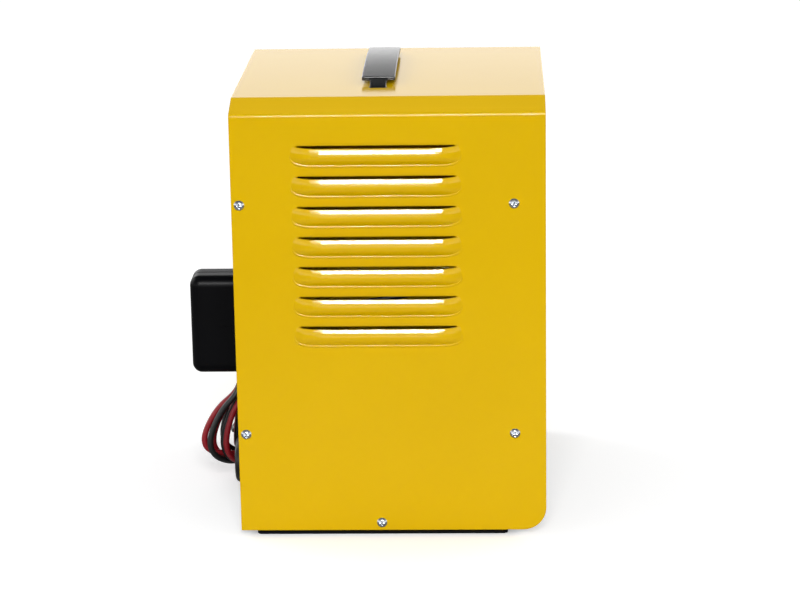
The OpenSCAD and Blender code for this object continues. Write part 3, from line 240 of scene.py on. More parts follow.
# %% Plastics and rubber
MOULDED_BLACK = finish("moulded black ABS", "#08080b", "#040406", 40, 0.45, 0.02, 0.36, 0.06, Specular_IOR_Level=0.08)
STRAP_BLACK = finish("moulded black nylon", "#121214", "#0c0c0e", 30, 0.5, 0.02, 0.27, 0.04)
CONTROL_BLACK = finish("satin black nylon", "#111113", "#0b0b0d", 25, 0.35, 0.02, 0.34, 0.04)
RUNNER_BLACK = finish("black rubber", "#080808", "#050505", 20, 0.5, 0.06, 0.6, 0.06, Specular_IOR_Level=0.1)
ROCKER_RED = finish("moulded red polycarbonate", "#c01420", "#b20f19", 20, 0.5, 0.005, 0.22, 0.03)
SLEEVE_RED = finish("dipped red vinyl", "#c4121f", "#b00e19", 15, 0.9, 0.02, 0.30, 0.05)
SLEEVE_BLACK = finish("dipped black vinyl", "#161618", "#0f0f11", 15, 0.9, 0.02, 0.32, 0.05)
JACKET_RED = finish("red vinyl lead jacket", "#a01020", "#7e0a16", 24, 2.0, 0.04, 0.38, 0.05)
JACKET_BLACK = finish("black vinyl lead jacket", "#1b1d1c", "#121313", 24, 2.0, 0.04, 0.40, 0.05)
IVORY = finish("ivory nylon", "#e2dccb", "#d6cfbb", 20, 0.6, 0.02, 0.45, 0.05)
TIE_FABRIC = finish("black nylon hook tape", "#18181a", "#0e0e10", 2.0, 0.6, 0.25, 0.85, 0.08,
                    Sheen_Weight=0.4, Sheen_Roughness=0.4)
print("plastics ready")

# %% [markdown]
# ### Metals
#
# Zinc plate on a screw is bright and bluish with fine scratches; nickel on the clamps is warmer and smoother, and
# spring wire is greyer. Turned brass and rolled copper strip are warm and plain. The transformer's core is a stack of
# varnished sheets, so its sides are finely lined, and the aluminium plate keeps the lines of its rolling. Enamelled
# wire and its paper tape show their turns as ridges one above the other. All these lines are stretched noise.

# %% Metals
ZINC = finish("bright zinc plate", "#ccd2da", "#aab2bf", 3, 0.5, 0.01, 0.24, 0.08, Metallic=1.0)
NICKEL = finish("nickel plated steel", "#c6c4be", "#b4b2ac", 8, 0.6, 0.008, 0.22, 0.06, Metallic=1.0)
SPRING = finish("bright spring wire", "#8b8d90", "#77797c", 4, 0.4, 0.01, 0.30, 0.05, Metallic=1.0)
LAMINATION = finish("varnished laminations", "#64666a", "#3d3f43", 1.2, 1.2, 0.12, 0.48, 0.08, (0.05, 1, 0.05),
                    Metallic=0.7)
WIRE_COPPER = finish("enamelled copper wire", "#b9692c", "#7e4317", 1.6, 1.6, 0.35, 0.30, 0.06, (0.06, 0.06, 1),
                     Metallic=0.8)
TAPED_COIL = finish("varnished paper tape", "#d3b264", "#b7934a", 14, 2.0, 0.15, 0.42, 0.06, (0.3, 0.3, 1))
ALUMINIUM = finish("mill aluminium plate", "#cfd2d4", "#bcc0c3", 6, 0.4, 0.01, 0.34, 0.08, (0.06, 1, 1), Metallic=1.0)
BRASS = finish("turned brass", "#c9a755", "#b18d3f", 4, 0.3, 0.01, 0.28, 0.06, Metallic=1.0)
COPPER_STRIP = finish("rolled copper strip", "#c27a4e", "#a9633a", 8, 0.4, 0.01, 0.30, 0.06, Metallic=1.0)
print("metals ready")

# %% [markdown]
# ### Clear and printed finishes
#
# The meter's window is clear acrylic and the lamps are tinted polycarbonate. Printed marks are a flat ink layer
# with hardly any grain.

# %% Clear and printed finishes
WINDOW = finish("clear acrylic", "#fafcfc", "#f4f8f8", 60, 3.0, 0.001, 0.05, 0.01, Transmission_Weight=1.0, IOR=1.49)
TINTED = {"Transmission_Weight": 0.35, "IOR": 1.58}
LENS_GREEN = finish("green polycarbonate", "#1fae48", "#178f38", 6, 1.2, 0.05, 0.14, 0.03, **TINTED)
LENS_RED = finish("red polycarbonate", "#d11d1d", "#b91616", 6, 1.2, 0.05, 0.14, 0.03, **TINTED)
DIAL_WHITE = finish("matt white dial card", "#f3f2ed", "#ebeae4", 30, 0.4, 0.01, 0.55, 0.05)
INK_BLACK = finish("black dial ink", "#1c1c1c", "#141414", 10, 0.4, 0.01, 0.5, 0.04)
INK_RED = finish("red dial ink", "#c8242a", "#b81d23", 10, 0.4, 0.01, 0.5, 0.04)
INK_WHITE = finish("white screen ink", "#eeeeea", "#e2e2de", 10, 0.4, 0.01, 0.5, 0.04)
print("clear and printed finishes ready")

# %% Give the CAD nodes their finishes
CAD_FINISHES = {
    YELLOW_COAT: "cover",
    BLACK_COAT: "chassis",
    RUNNER_BLACK: "runners lead_grommet",
    STRAP_BLACK: "handle_strap",
    MOULDED_BLACK: "housing_right housing_left mains_gland gland_nut",
    CONTROL_BLACK: "selector_knob selector_switch power_switch voltage_switch voltage_rocker thermal_breaker "
                   "meter_case",
    ROCKER_RED: "power_rocker reset_button",
    SLEEVE_RED: "red_fixed_sleeve red_moving_sleeve",
    SLEEVE_BLACK: "black_fixed_sleeve black_moving_sleeve",
    JACKET_RED: "red_lead",
    JACKET_BLACK: "black_lead output_cables lead_hank",
    TIE_FABRIC: "hank_tie",
    ZINC: "cover_screws chassis_screws housing_screws clamp_rest core_bolts core_angles plate_spacers "
          "selector_shaft red_rivet black_rivet rectifier_diodes",
    NICKEL: "red_fixed_jaw red_moving_jaw black_fixed_jaw black_moving_jaw",
    SPRING: "red_spring black_spring",
    LENS_GREEN: "power_lamp",
    LENS_RED: "charge_lamp",
    DIAL_WHITE: "meter_dial",
    INK_BLACK: "meter_needle",
    WINDOW: "meter_window",
    IVORY: "terminal_block coil_former",
    LAMINATION: "transformer_core",
    WIRE_COPPER: "primary_winding",
    TAPED_COIL: "secondary_winding",
    ALUMINIUM: "rectifier_plate",
    BRASS: "output_posts",
    COPPER_STRIP: "fuse_strip secondary_links",
}
dressed = set()
for material, names in CAD_FINISHES.items():
    for name in names.split():
        nodes[name].data.materials.clear()
        nodes[name].data.materials.append(material)
        dressed.add(name)
print("bare nodes:", sorted(set(nodes) - dressed))

# %% [markdown]
# ## The battery leads
#
# Two soft leads leave the housing, go round six times together and end in the clamps. On the real charger the
# turns are tied at the top and open like a fan below. A simulation could drop them, but it wouldn't fall the
# same way as the picture. Here each turn is set by three things: its column across the front, its depth at
# the tie, and how far it swings out at the bottom.

# %% Lay out the turns
FRONT = -96.0  # the cover's front edge, mm
LEAD = 5.0  # lead diameter, mm
OUTER, INNER = 8.5, 3.5  # two layers at the tie, mm in front of the cover
FOLD, TOP_OF_FOLDS = 15, 94.0  # radius and height of the folds, mm
# Height on the way down and how far out the widest turn is there, mm.
SWING = ((80, 4.5), (71, 16.0), (62.5, 23.0), (54, 28.1), (45, 32.0), (36, 34.3))
BOTTOM_SWING = 32  # how far out the widest turn is where it bends back, mm
LOW_BEND, TALL_BEND = 17.8, 20.5  # lowest point of a narrow turn, most that half a bend is tall, mm
UP_PANEL = (38, 52, 68)  # heights of a turn's points on its way up the panel, mm


def down_front(x, layer, swing):
    """The run down the front: at each height the swing is a share of the widest turn's."""
    return [(x, layer + out * swing, height) for height, out in SWING]


def round_bottom(x, layer, swing, sole, back_x, back):
    """Half an ellipse from the front run to the back run; a wide turn slopes down towards the panel instead."""
    out = layer + BOTTOM_SWING * swing
    tall = min(math.hypot(back_x - x, out - back) / 2, TALL_BEND)
    points = []
    # Angle round the bend, share of the way back, height there of a wide turn.
    for turn, share, wide in ((30, 0.067, 27.0), (70, 0.33, sole + 4.5), (110, 0.67, sole), (150, 0.933, 24.0)):
        narrow = LOW_BEND + tall * (1 - math.sin(math.radians(turn)))
        height = narrow + (wide - narrow) * min(1, swing * 1.2)
        points.append((x + share * (back_x - x), out + share * (back - out), height))
    return points


def over_top(x, layer, next_x, next_layer, next_swing):
    """Up the panel, then half a circle from the back column to the next front column."""
    radius, middle = (next_x - x) / 2, (next_x + x) / 2
    end = next_layer + 2 * next_swing  # a wide turn already leans out a little at the top
    points = [(x, layer, height) for height in UP_PANEL]
    for turn in (180, 150, 120, 90, 60, 30):
        angle = math.radians(turn)
        points.append((middle + radius * math.cos(angle), layer + (end - layer) * (180 - turn) / 180,
                       TOP_OF_FOLDS - FOLD + radius * math.sin(angle)))
    return points


def wound(turns):
    """All the turns but the last; each back column is two fold radii from the next front one, in its layer."""
    points = []
    for (x, layer, swing, sole), (next_x, next_layer, next_swing, _) in zip(turns, turns[1:]):
        back_x = next_x - 2 * FOLD
        points += down_front(x, layer, swing) + round_bottom(x, layer, swing, sole, back_x, next_layer)
        points += over_top(back_x, next_layer, next_x, next_layer, next_swing)
    return points


# A turn is its column, its layer, its share of the widest swing and the height of its sole.
RED_TURNS = [(2.5, OUTER, 0.74, 17), (7.5, OUTER, 1.0, 19.5), (12.5, INNER, 0.62, 17), (2.5, INNER, 0.22, 17),
             (-2.5, OUTER, 0.40, 17), (-12.5, OUTER, 0.15, 17)]
BLACK_TURNS = [(7.5, INNER, 0.66, 16), (12.5, OUTER, 0.84, 14), (-2.5, INNER, 0.30, 17), (-7.5, OUTER, 0.55, 17),
               (-7.5, INNER, 0.10, 17), (-12.5, INNER, 0.05, 17)]
# A route is a list of (x, distance in front of the cover, height): out of the housing, the turns, up to the clamp.
red_route = [(5.5, 6.5, 102), (5.5, 6.5, 99), (5.5, 6.7, 94.5), (4.8, 8.0, 88.5)] + wound(RED_TURNS)
red_route += down_front(*RED_TURNS[-1][:3]) + round_bottom(*RED_TURNS[-1], -40.5, 13.4)
red_route += [(-40.5, 13.4, 38), (-39.8, 13.4, 52), (-38.4, 13.4, 68), (-37.1, 13.4, 84), (-36.7, 13.4, 95)]
red_route += [(-36.5, 11, 103.5), (-36.1, 8.7, 109), (-36.3, 8.5, 112), (-37, 8.5, 115)]
black_route = [(-5.5, 6.5, 102), (-5.5, 6.5, 99), (-5.0, 6.2, 95), (-1.0, 4.6, 89), (4.5, 3.8, 84)]
black_route += wound(BLACK_TURNS) + down_front(*BLACK_TURNS[-1][:3])[:4]
black_route += [(-14.5, 8, 47), (-18.5, 13.5, 41), (-24, 17.5, 37), (-31, 19.6, 35), (-38.5, 19, 35.5)]
black_route += [(-46.5, 15.5, 38), (-55, 11.5, 43), (-63.0, 9.2, 49.5), (-70.0, 8.5, 58), (-75.5, 8.5, 68)]
black_route += [(-79.2, 8.5, 79), (-82, 8.5, 91), (-84.4, 8.5, 102), (-86.1, 8.5, 110), (-87, 8.5, 115)]
print("route points:", len(red_route), len(black_route))

# %% [markdown]
# A route of corner points becomes a lead in four steps. A smooth curve goes through the points, and its spacing is
# made even; then a few passes of averaging take out any bend that a stiff jacket wouldn't make. Turns drawn one by
# one still run through each other, so they push each other apart, as the real ones did when they were folded.
# Last, a ring is set square to the path at every step, each turned as little as possible from the one before.

# %% Make the leads
NEAR = 14.0  # turns further apart than this never meet, mm
ALONG = 8  # points of one lead closer than this many steps belong to the same turn
TIED = (78.0, 88.0)  # free below the first height, held by the tie above the second, mm
LOWEST, PANEL_GAP = 14.9, 3.1  # how high, and how far in front of the cover, the middle of a lead stays, mm
PUSH = 0.75  # share of an overlap that one round takes away


def smooth_path(route, step=2.4, passes=14):
    """A Catmull-Rom curve through the points, cut into even steps, each point then averaged with its neighbours."""
    p = np.array([(x, FRONT - out, z) for x, out, z in route])
    p = np.vstack([2 * p[0] - p[1], p, 2 * p[-1] - p[-2]])
    a, b, c, d = p[:-3, None], p[1:-2, None], p[2:-1, None], p[3:, None]
    t = np.linspace(0, 1, 20, endpoint=False)[None, :, None]
    curve = 0.5 * (2 * b + (c - a) * t + (2 * a - 5 * b + 4 * c - d) * t**2 + (3 * b - a - 3 * c + d) * t**3)
    curve = np.vstack([curve.reshape(-1, 3), p[-2]])
    along = np.r_[0, np.cumsum(np.linalg.norm(np.diff(curve, axis=0), axis=1))]
    even = np.linspace(0, along[-1], round(along[-1] / step) + 1)
    path = np.stack([np.interp(even, along, curve[:, k]) for k in range(3)], -1)
    for _ in range(passes):
        path[1:-1] = (path[:-2] + 2 * path[1:-1] + path[2:]) / 4
    return path


def pushed_apart(paths, rounds=120, passes=8):
    """Each point that overlaps another turn moves away by three quarters of the overlap; its neighbours share it."""
    start = np.vstack(paths)
    lengths = [len(path) for path in paths]
    lead, order = np.repeat(np.arange(len(paths)), lengths), np.arange(len(start))
    reach = np.linalg.norm(start[:, None] - start[None], axis=-1)
    next_along = (lead[:, None] == lead[None]) & (np.abs(order[:, None] - order[None]) < ALONG)
    one, other = np.nonzero((reach < NEAR) & ~next_along)
    free = np.clip((TIED[1] - start[:, 2]) / (TIED[1] - TIED[0]), 0, 1)[:, None]
    now = start
    for _ in range(rounds):
        away = now[one] - now[other]
        reach = np.maximum(np.linalg.norm(away, axis=1), 0.05)[:, None]  # never zero, so it can divide
        hit = reach[:, 0] < LEAD
        push, hits = np.zeros_like(start), np.zeros((len(start), 1))
        np.add.at(push, one[hit], PUSH * (away * (LEAD / reach - 1))[hit])
        np.add.at(hits, one[hit], 1)
        moves = np.split(now - start + push / np.maximum(hits, 1), np.cumsum(lengths)[:-1])
        for move in moves:
            for _ in range(passes):
                move[1:-1] = (move[:-2] + 2 * move[1:-1] + move[2:]) / 4
        now = start + np.vstack(moves) * free
        now[:, 1] = np.minimum(now[:, 1], FRONT - PANEL_GAP)
        now[:, 2] = np.maximum(now[:, 2], LOWEST)
    return np.split(now, np.cumsum(lengths)[:-1])


def tube_grid(path, diameter, columns=12):
    """Rings square to the path: a side vector is carried from ring to ring, keeping only what is across the path."""
    heading = np.gradient(path, axis=0)
    heading /= np.linalg.norm(heading, axis=1)[:, None]
    side = np.zeros_like(path)
    across = np.cross(heading[0], (0.3, 0.5, 0.8))  # any direction that isn't the lead's own
    for k in range(len(path)):
        across = across - heading[k] * (across @ heading[k])
        across /= np.linalg.norm(across)
        side[k] = across
    up = np.cross(heading, side)
    angle = np.linspace(0, 2 * math.pi, columns, endpoint=False)[None, :, None]
    return path[:, None] + diameter / 2 * (np.cos(angle) * side[:, None] + np.sin(angle) * up[:, None])


def length_of(path):
    """The sum of the distances from point to point."""
    return float(np.linalg.norm(np.diff(path, axis=0), axis=1).sum())


red_path, black_path = pushed_apart([smooth_path(red_route), smooth_path(black_route)])
red_lead = piece("red_battery_lead", [(tube_grid(red_path, LEAD), False)], "case", JACKET_RED)
black_lead = piece("black_battery_lead", [(tube_grid(black_path, LEAD), False)], "case", JACKET_BLACK)
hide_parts("red_lead", "lead_hank")
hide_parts("black_lead", "lead_hank")
print("lead lengths, mm:", round(length_of(red_path)), round(length_of(black_path)))

# %% [markdown]
# ## Clamp sleeves
#
# Each handle of a battery clamp has a vinyl sleeve. The ribs near its end are for grip, and the rim at its top
# is thicker so that it doesn't split. A plain tube would look like a drawing, so the sleeve is a grid: its rows
# run down the handle, its columns round it, and the distance from the middle swells and shrinks with the ribs.

# %% Make the sleeves
CLAMPS = {"red": -56.0, "black": -106.0}  # rivet places across the front, mm
CLAMP_Y, RIVET_Z = FRONT - 8.5, 165.0  # middle of a clamp from front to back, height of its rivet, mm
HANDLE_TOP, HANDLE_END = np.array([9.5, -10.0]), np.array([19.0, -50.0])  # across and up from the rivet, mm
RIBS, RIB_HIGH, RIBBED = 11, 0.34, 0.72  # ribs in the full length, their height in mm, the share of it that has them
RIM_AT, RIM_HIGH = 0.965, 0.35  # where the rim is, as a share of the length, and its height in mm
SLEEVE_WIDE, BORE_WIDE = 9.7, 7.55  # mm


def sleeve_grid(x, side, deep):
    """A round-cornered tube along the handle: ribs are a raised sine, the rim a bump, and the mouth is rolled in."""
    run = HANDLE_TOP - HANDLE_END
    tall = float(np.linalg.norm(run))
    run = run / tall
    low, high = -1.5, tall - 3.0
    along = np.concatenate([[0.0], np.linspace(0, 1, 90), [1.0]])
    ribs = RIB_HIGH * np.clip(np.sin(along * 2 * math.pi * RIBS), 0, 1) * (along < RIBBED)
    rim = RIM_HIGH * np.exp(-((along - RIM_AT) / 0.02) ** 2)
    swell = 0.10 + ribs + rim - 0.55 * (along <= 0) - 0.3 * (along >= 1)
    outline = box_outline(SLEEVE_WIDE, deep + 2.4, 3.0)
    facing = outline / np.linalg.norm(outline, axis=1)[:, None]
    outer = outline[None] + facing[None] * swell[:, None, None]
    inner = np.broadcast_to(box_outline(BORE_WIDE, deep + 0.05, 0.6)[None], (2, len(outline), 2))
    sections = np.concatenate([outer, inner])
    height = low + (high - low) * np.concatenate([along, [1.0, 0.0]])
    across = np.array([run[1], -run[0]])
    u = HANDLE_END[0] + run[0] * height[:, None] + across[0] * sections[..., 0]
    w = HANDLE_END[1] + run[1] * height[:, None] + across[1] * sections[..., 0]
    return np.stack([x + side * u, CLAMP_Y + sections[..., 1], RIVET_Z + w], -1)


for colour, x in CLAMPS.items():
    material = SLEEVE_RED if colour == "red" else SLEEVE_BLACK
    # The half, its side of the rivet, the depth of its handle in mm and its body.
    for half, side, deep, body in (("fixed", 1, 13.2, "case"), ("moving", -1, 10.0, colour + "_clamp_half")):
        made = piece(f"{colour}_{half}_grip", [(sleeve_grid(x, side, deep), True)], body, material)
        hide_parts(f"{colour}_{half}_sleeve")


# %% [markdown]
# ## The tie round the leads
#
# A strip of hook-and-loop tape holds the folds. It is thin and soft, so its corners are round and its loose end
# lies over its own front. It could be a box with a hole, but a strip carried round a loop shows its edge.

# %% Make the tie
TIE_X, TIE_OUT, TIE_Z = -12.6, 6.25, 91.3  # middle of the loop: across, in front of the cover, height, mm
LOOP_DEEP, LOOP_HIGH = 10.9, 11.5  # mm
TAPE_WIDE, TAPE_THICK = 8, 0.8  # mm
TONGUE_OUT, TONGUE_TOP, TONGUE_END = 12.3, 95.0, 87.5  # the loose end: in front of the cover, from and to height, mm


def band_grid(loop):
    """The tape carried round a closed loop in Y and Z: each row is a small rectangle square to the loop."""
    heading = np.roll(loop, -1, 0) - np.roll(loop, 1, 0)
    heading /= np.linalg.norm(heading, axis=1)[:, None]
    outward = np.stack([heading[:, 1], -heading[:, 0]], -1)
    section = box_outline(TAPE_WIDE, TAPE_THICK, TAPE_THICK * 0.35, 3)
    y = loop[:, None, 0] + outward[:, None, 0] * section[None, :, 1]
    z = loop[:, None, 1] + outward[:, None, 1] * section[None, :, 1]
    return np.stack([np.broadcast_to(TIE_X + section[None, :, 0], y.shape), y, z], -1)


def tongue_grid(rows=10):
    """The loose end of the tape: a slightly smaller rectangle carried straight down."""
    section = box_outline(TAPE_WIDE - 0.4, TAPE_THICK - 0.1, 0.3, 3)
    z = np.repeat(np.linspace(TONGUE_TOP, TONGUE_END, rows)[:, None], len(section), 1)
    return np.stack([np.broadcast_to(TIE_X + section[:, 0], z.shape),
                     np.broadcast_to(FRONT - TONGUE_OUT + section[:, 1], z.shape), z], -1)


loop = box_outline(LOOP_DEEP, LOOP_HIGH, 3.0, 8) + np.array([FRONT - TIE_OUT, TIE_Z])
tie = piece("hook_tape_tie", [(band_grid(loop), True), (tongue_grid(), False)], "case", TIE_FABRIC)
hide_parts("hank_tie")

# %% [markdown]
# ## The carrying strap
#
# The strap is one moulding that lies nearly flat. A slim neck at each end dips through a slot in the top and ends in
# a bar; in the hand the strap bows up until the bars meet the sheet. A box would do from afar, but its edges would
# catch no light. Here a rounded outline is carried along a shallow arc, with a recess below that keeps the wall even.

# %% Make the strap
STRAP_LENGTH, STRAP_WIDTH, STRAP_THICK = 133.0, 26.0, 3.5  # mm
STRAP_RISE, STRAP_LOW = 2.5, 2.5  # how much higher the middle is than the ends, and the ends than the top, mm
STRAP_MIDDLE = -10.5  # the strap sits a little towards the far side, mm
TOP, MID_Y = 346.5, 15.0  # the cover's top and its middle from front to back, mm
ARC = ((STRAP_LENGTH / 2) ** 2 + STRAP_RISE**2) / (2 * STRAP_RISE)  # radius of the strap's upper side, mm
ARC_CENTRE = TOP + STRAP_LOW + STRAP_THICK + STRAP_RISE - ARC
BAR = 80.5  # the bar under the sheet, from the strap's middle, mm


def strap_grid():
    """An outline at each place along the arc; the crown lifts the middle and the recess lifts the underside."""
    half = STRAP_LENGTH / 2
    inset = np.array([0.0, 0.08, 0.25, 0.5, 0.8])  # distance in from an end, which is rounded over 0.8 mm
    ends = np.sqrt(np.clip(1 - (1 - inset / 0.8) ** 2, 0, 1))
    along = np.concatenate([inset - half, np.linspace(2 - half, half - 2, 60), (half - inset)[::-1]])
    size = np.concatenate([ends, np.ones(60), ends[::-1]])
    outline = box_outline(STRAP_WIDTH, STRAP_THICK, 0.9, 6)
    extra = np.linspace(-10.5, 10.5, 17)  # more points across both faces, so that they can curve
    under = np.stack([extra, np.full(17, -STRAP_THICK / 2)], -1)
    over = np.stack([extra[::-1], np.full(17, STRAP_THICK / 2)], -1)
    quarter = len(outline) // 4
    outline = np.concatenate([outline[:quarter], over, outline[quarter:3 * quarter], under, outline[3 * quarter:]])
    across, lift = outline[:, 0], outline[:, 1]
    crown = 0.3 * (across / (STRAP_WIDTH / 2)) ** 2
    recess = 0.8 * np.clip(9.0 - np.abs(across), 0, 1)
    inner = (np.abs(along) < half - 12).astype(float)  # the recess stops 12 mm from each end
    rise = np.where(lift[None] > 0, lift[None] - crown[None], lift[None] + recess[None] * inner[:, None])
    rise = rise * (0.6 + 0.4 * size[:, None])
    wide = across[None] * (1 - 0.06 * (1 - size[:, None]))
    r, turn = ARC - STRAP_THICK / 2 + rise, (along / ARC)[:, None]
    return np.stack([STRAP_MIDDLE + r * np.sin(turn), MID_Y + wide, ARC_CENTRE + r * np.cos(turn)], -1)


def neck_grid(side):
    """A rounded outline that goes down a straight lean and round a bend, then widens to the bar under the sheet."""
    lean, bend = math.atan2(4.65, 17), 1.6
    rows = []  # distance from the strap's middle, height over the top, turn, thickness, width
    for x, thick, wide in ((60.5, 2.2, 12.5), (64.5, 2.9, 15.2), (66.2, 3.0, 14.6), (67.2, 3.0, 13.6),
                           (68.6, 3.0, 12.8), (70.5, 3.0, 12.5)):
        rows.append((x, 4.25 - (x - 63.5) * math.tan(lean), lean, thick, wide))
    for turn in np.linspace(lean, math.pi / 2, 6):
        rows.append((BAR - bend + bend * math.sin(turn), -1.62 + bend * math.cos(turn), turn, 3.0, 12.5))
    for height, thick, wide in ((-1.65, 2.6, 22.1), (-1.9, 3.0, 22.5), (-4.7, 3.0, 22.5), (-5.0, 2.6, 22.1)):
        rows.append((BAR, height, math.pi / 2, thick, wide))
    grid = []
    for x, height, turn, thick, wide in rows:
        spots = box_outline(thick, wide, 0.9)
        across = STRAP_MIDDLE + side * (x + spots[:, 0] * math.sin(turn))
        grid.append(np.stack([across, MID_Y + spots[:, 1], TOP + height + spots[:, 0] * math.cos(turn)], -1))
    return np.array(grid)


strap = piece("carrying_strap", [(strap_grid(), False), (neck_grid(-1), False), (neck_grid(1), False)], "case",
              STRAP_BLACK)
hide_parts("handle_strap")

# %% [markdown]
# ## Creases round the louvres
#
# The press that cuts and raises a louvre leaves a low swelling where the sheet starts to rise, and the paint shines
# along it. It could be a bump in the shader, but a line this thin would break up; as a mesh it stays whole. Its
# path is the louvre's own outline, a straight middle with two rounded ends.

# %% Make the creases
LOUVRE_MIDDLE, LOUVRE_END = 42.5, 22.0  # half the straight part, length of each rounded end, mm
LOUVRE_RIDGE, LOUVRE_HEIGHT = 7.05, 15.0  # from the lip down to the ridge and to the crease, mm
LOUVRE_LIPS = [313.5 - 23.7 * k for k in range(7)]  # heights, mm
SIDE = 132.5  # the cover's side, mm
CREASE_HIGH, CREASE_HALF, CREASE_OUT = 0.3, 1.0, 0.6  # height, half the width, distance from the outline, mm


def crease_grid(side, lip):
    """A low arch carried round the outline: across**3.3 + down**2.7 = 1 in shares of the end and of the lower part."""
    turn = np.radians(np.linspace(0, 90, 19)[1:])
    out = LOUVRE_MIDDLE + LOUVRE_END * np.sin(turn) ** (2 / 3.3)
    down = LOUVRE_RIDGE + (LOUVRE_HEIGHT - LOUVRE_RIDGE) * np.cos(turn) ** (2 / 2.7)
    straight = np.linspace(-LOUVRE_MIDDLE, LOUVRE_MIDDLE, 24)
    path = np.concatenate([np.stack([-out, down], -1)[::-1], np.stack([straight, np.full(24, LOUVRE_HEIGHT)], -1),
                           np.stack([out, down], -1)])
    heading = np.gradient(path, axis=0)
    heading /= np.linalg.norm(heading, axis=1)[:, None]
    outward = np.stack([-heading[:, 1], heading[:, 0]], -1)
    along = np.r_[0, np.cumsum(np.linalg.norm(np.diff(path, axis=0), axis=1))]
    size = np.clip(np.minimum(along, along[-1] - along) / 8, 0.05, 1)
    across = np.array([-1, -0.8, -0.6, -0.4, -0.2, 0, 0.2, 0.4, 0.6, 0.8, 1, 0.9, -0.9])
    high = np.r_[CREASE_HIGH * (1 - across[:11] ** 2), -0.4, -0.4]  # the last two points are inside the sheet
    spots = path[:, None] + outward[:, None] * (CREASE_OUT + CREASE_HALF * across[None, :, None] * size[:, None, None])
    x = SIDE + high[None] * np.where(high > 0, size[:, None], 1)
    return np.stack([side * x, MID_Y + spots[..., 0], lip - spots[..., 1]], -1)


piece("louvre_creases", [(crease_grid(side, lip), False) for side in (-1, 1) for lip in LOUVRE_LIPS], "case",
      YELLOW_COAT)

# %% [markdown]
# ## Lamps
#
# A panel lamp is a tinted lens in a bright bezel. Both are lathe shapes. The lens has fine rings moulded inside,
# which break up the light; here they are shallow steps in the profile.

# %% Make the lamps
LAMP_X, LENS_WIDE, LENS_BACK, LENS_HIGH = -82, 4.1, 1.5, 3.3  # place, then radius, foot and height of the dome, mm
RING_HIGH, RING_TURNS = 0.06, 60  # the moulded rings: height in mm, radians from the foot to the crown
AXIS = 0.01  # radius of a closed end, mm


def lamp(name, z, lens_finish, node):
    """A bezel and a ringed dome, both turned about the lamp's axis."""
    centre = (LAMP_X, FRONT + 1, z)
    bezel = [(AXIS, -14), (3.9, -14), (3.95, 0), (5.1, 0), (5.5, 0.3), (5.45, 1.0), (4.9, 1.7), (4.3, 1.9),
             (4.15, 1.6), (AXIS, 1.5)]
    dome = [(LENS_WIDE * math.sqrt(max(1 - h * h, 0.0)) + RING_HIGH * math.sin(h * RING_TURNS) * (1 - h),
             LENS_BACK + LENS_HIGH * h) for h in np.linspace(0, 1, 22)]
    dome[-1] = (AXIS, LENS_BACK + LENS_HIGH)
    ring = piece(name + "_bezel", [(turned(bezel, centre), False)], "case", NICKEL)
    lens = piece(name + "_lens", [(turned([(AXIS, 1.45), (LENS_WIDE, 1.45)] + dome, centre), False)], "case",
                 lens_finish)
    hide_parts(node)
    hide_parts(node)


lamp("power_lamp", 277, LENS_GREEN, "power_lamp")
lamp("charge_lamp", 251, LENS_RED, "charge_lamp")

# %% [markdown]
# ## Printed marks
#
# The dial, the knob and the switches carry plain ticks, numbers and signs. They could be painted into a texture;
# as thin solids they stay sharp at any distance. Ticks are strips worked out in one array, and figures are
# Blender text turned into a mesh.

# %% Draw strips and figures
INK = 0.06  # thickness of the ink, mm


def flat_marks(name, strips, words, plane, body, material, basis=None):
    """Strips are four corners each and words are (text, x, z, size), all in a plane that faces -Y unless turned."""
    points = [np.array(s, float).reshape(-1, 2) for s in strips]
    faces, first = [], 0
    for s in points:
        faces.append(list(range(first, first + len(s))))
        first += len(s)
    for text, x, z, size in words:
        curve = bpy.data.curves.new("figure", "FONT")
        curve.body, curve.size, curve.align_x, curve.align_y = text, size, "CENTER", "CENTER"
        curve.resolution_u = 3
        holder = bpy.data.objects.new("figure", curve)
        bpy.context.collection.objects.link(holder)
        bpy.context.view_layer.update()
        made = bpy.data.meshes.new_from_object(holder)
        spots = np.zeros(len(made.vertices) * 3)
        made.vertices.foreach_get("co", spots)
        points.append(spots.reshape(-1, 3)[:, :2] + (x, z))
        faces += [[first + k for k in p.vertices] for p in made.polygons]
        first += len(made.vertices)
        bpy.data.objects.remove(holder)
        bpy.data.meshes.remove(made)
    flat = np.concatenate(points)
    across, up, origin = basis or ((1, 0, 0), (0, 0, 1), (0, plane, 0))
    solid = np.array(origin) + flat[:, :1] * np.array(across) + flat[:, 1:] * np.array(up)
    mesh = bpy.data.meshes.new(name)
    mesh.from_pydata((solid / METRE).tolist(), [], faces)
    made = bpy.data.objects.new(name, mesh)
    bpy.context.collection.objects.link(made)
    thicken = made.modifiers.new("ink", "SOLIDIFY")
    thicken.thickness, thicken.offset = INK / METRE, 1.0
    made.data.materials.append(material)
    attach(made, body)
    print(name, len(faces), "faces")
    return made


def rays(centre, inner, outer, angles, width):
    """Short strips that point away from a centre, at angles clockwise from straight up."""
    strips = []
    for a in np.radians(angles):
        away, aside = np.array([math.sin(a), math.cos(a)]), np.array([math.cos(a), -math.sin(a)]) * width / 2
        near, far = np.array(centre) + away * inner, np.array(centre) + away * outer
        strips.append([near - aside, near + aside, far + aside, far - aside][::-1])
    return strips


def arc_band(centre, inner, outer, start, end, steps=24):
    """A curved strip between two angles, cut into short four-cornered pieces."""
    angle = np.radians(np.linspace(start, end, steps + 1))
    away = np.stack([np.sin(angle), np.cos(angle)], -1)
    near, far = np.array(centre) + away * inner, np.array(centre) + away * outer
    return [[near[k], near[k + 1], far[k + 1], far[k]][::-1] for k in range(steps)]


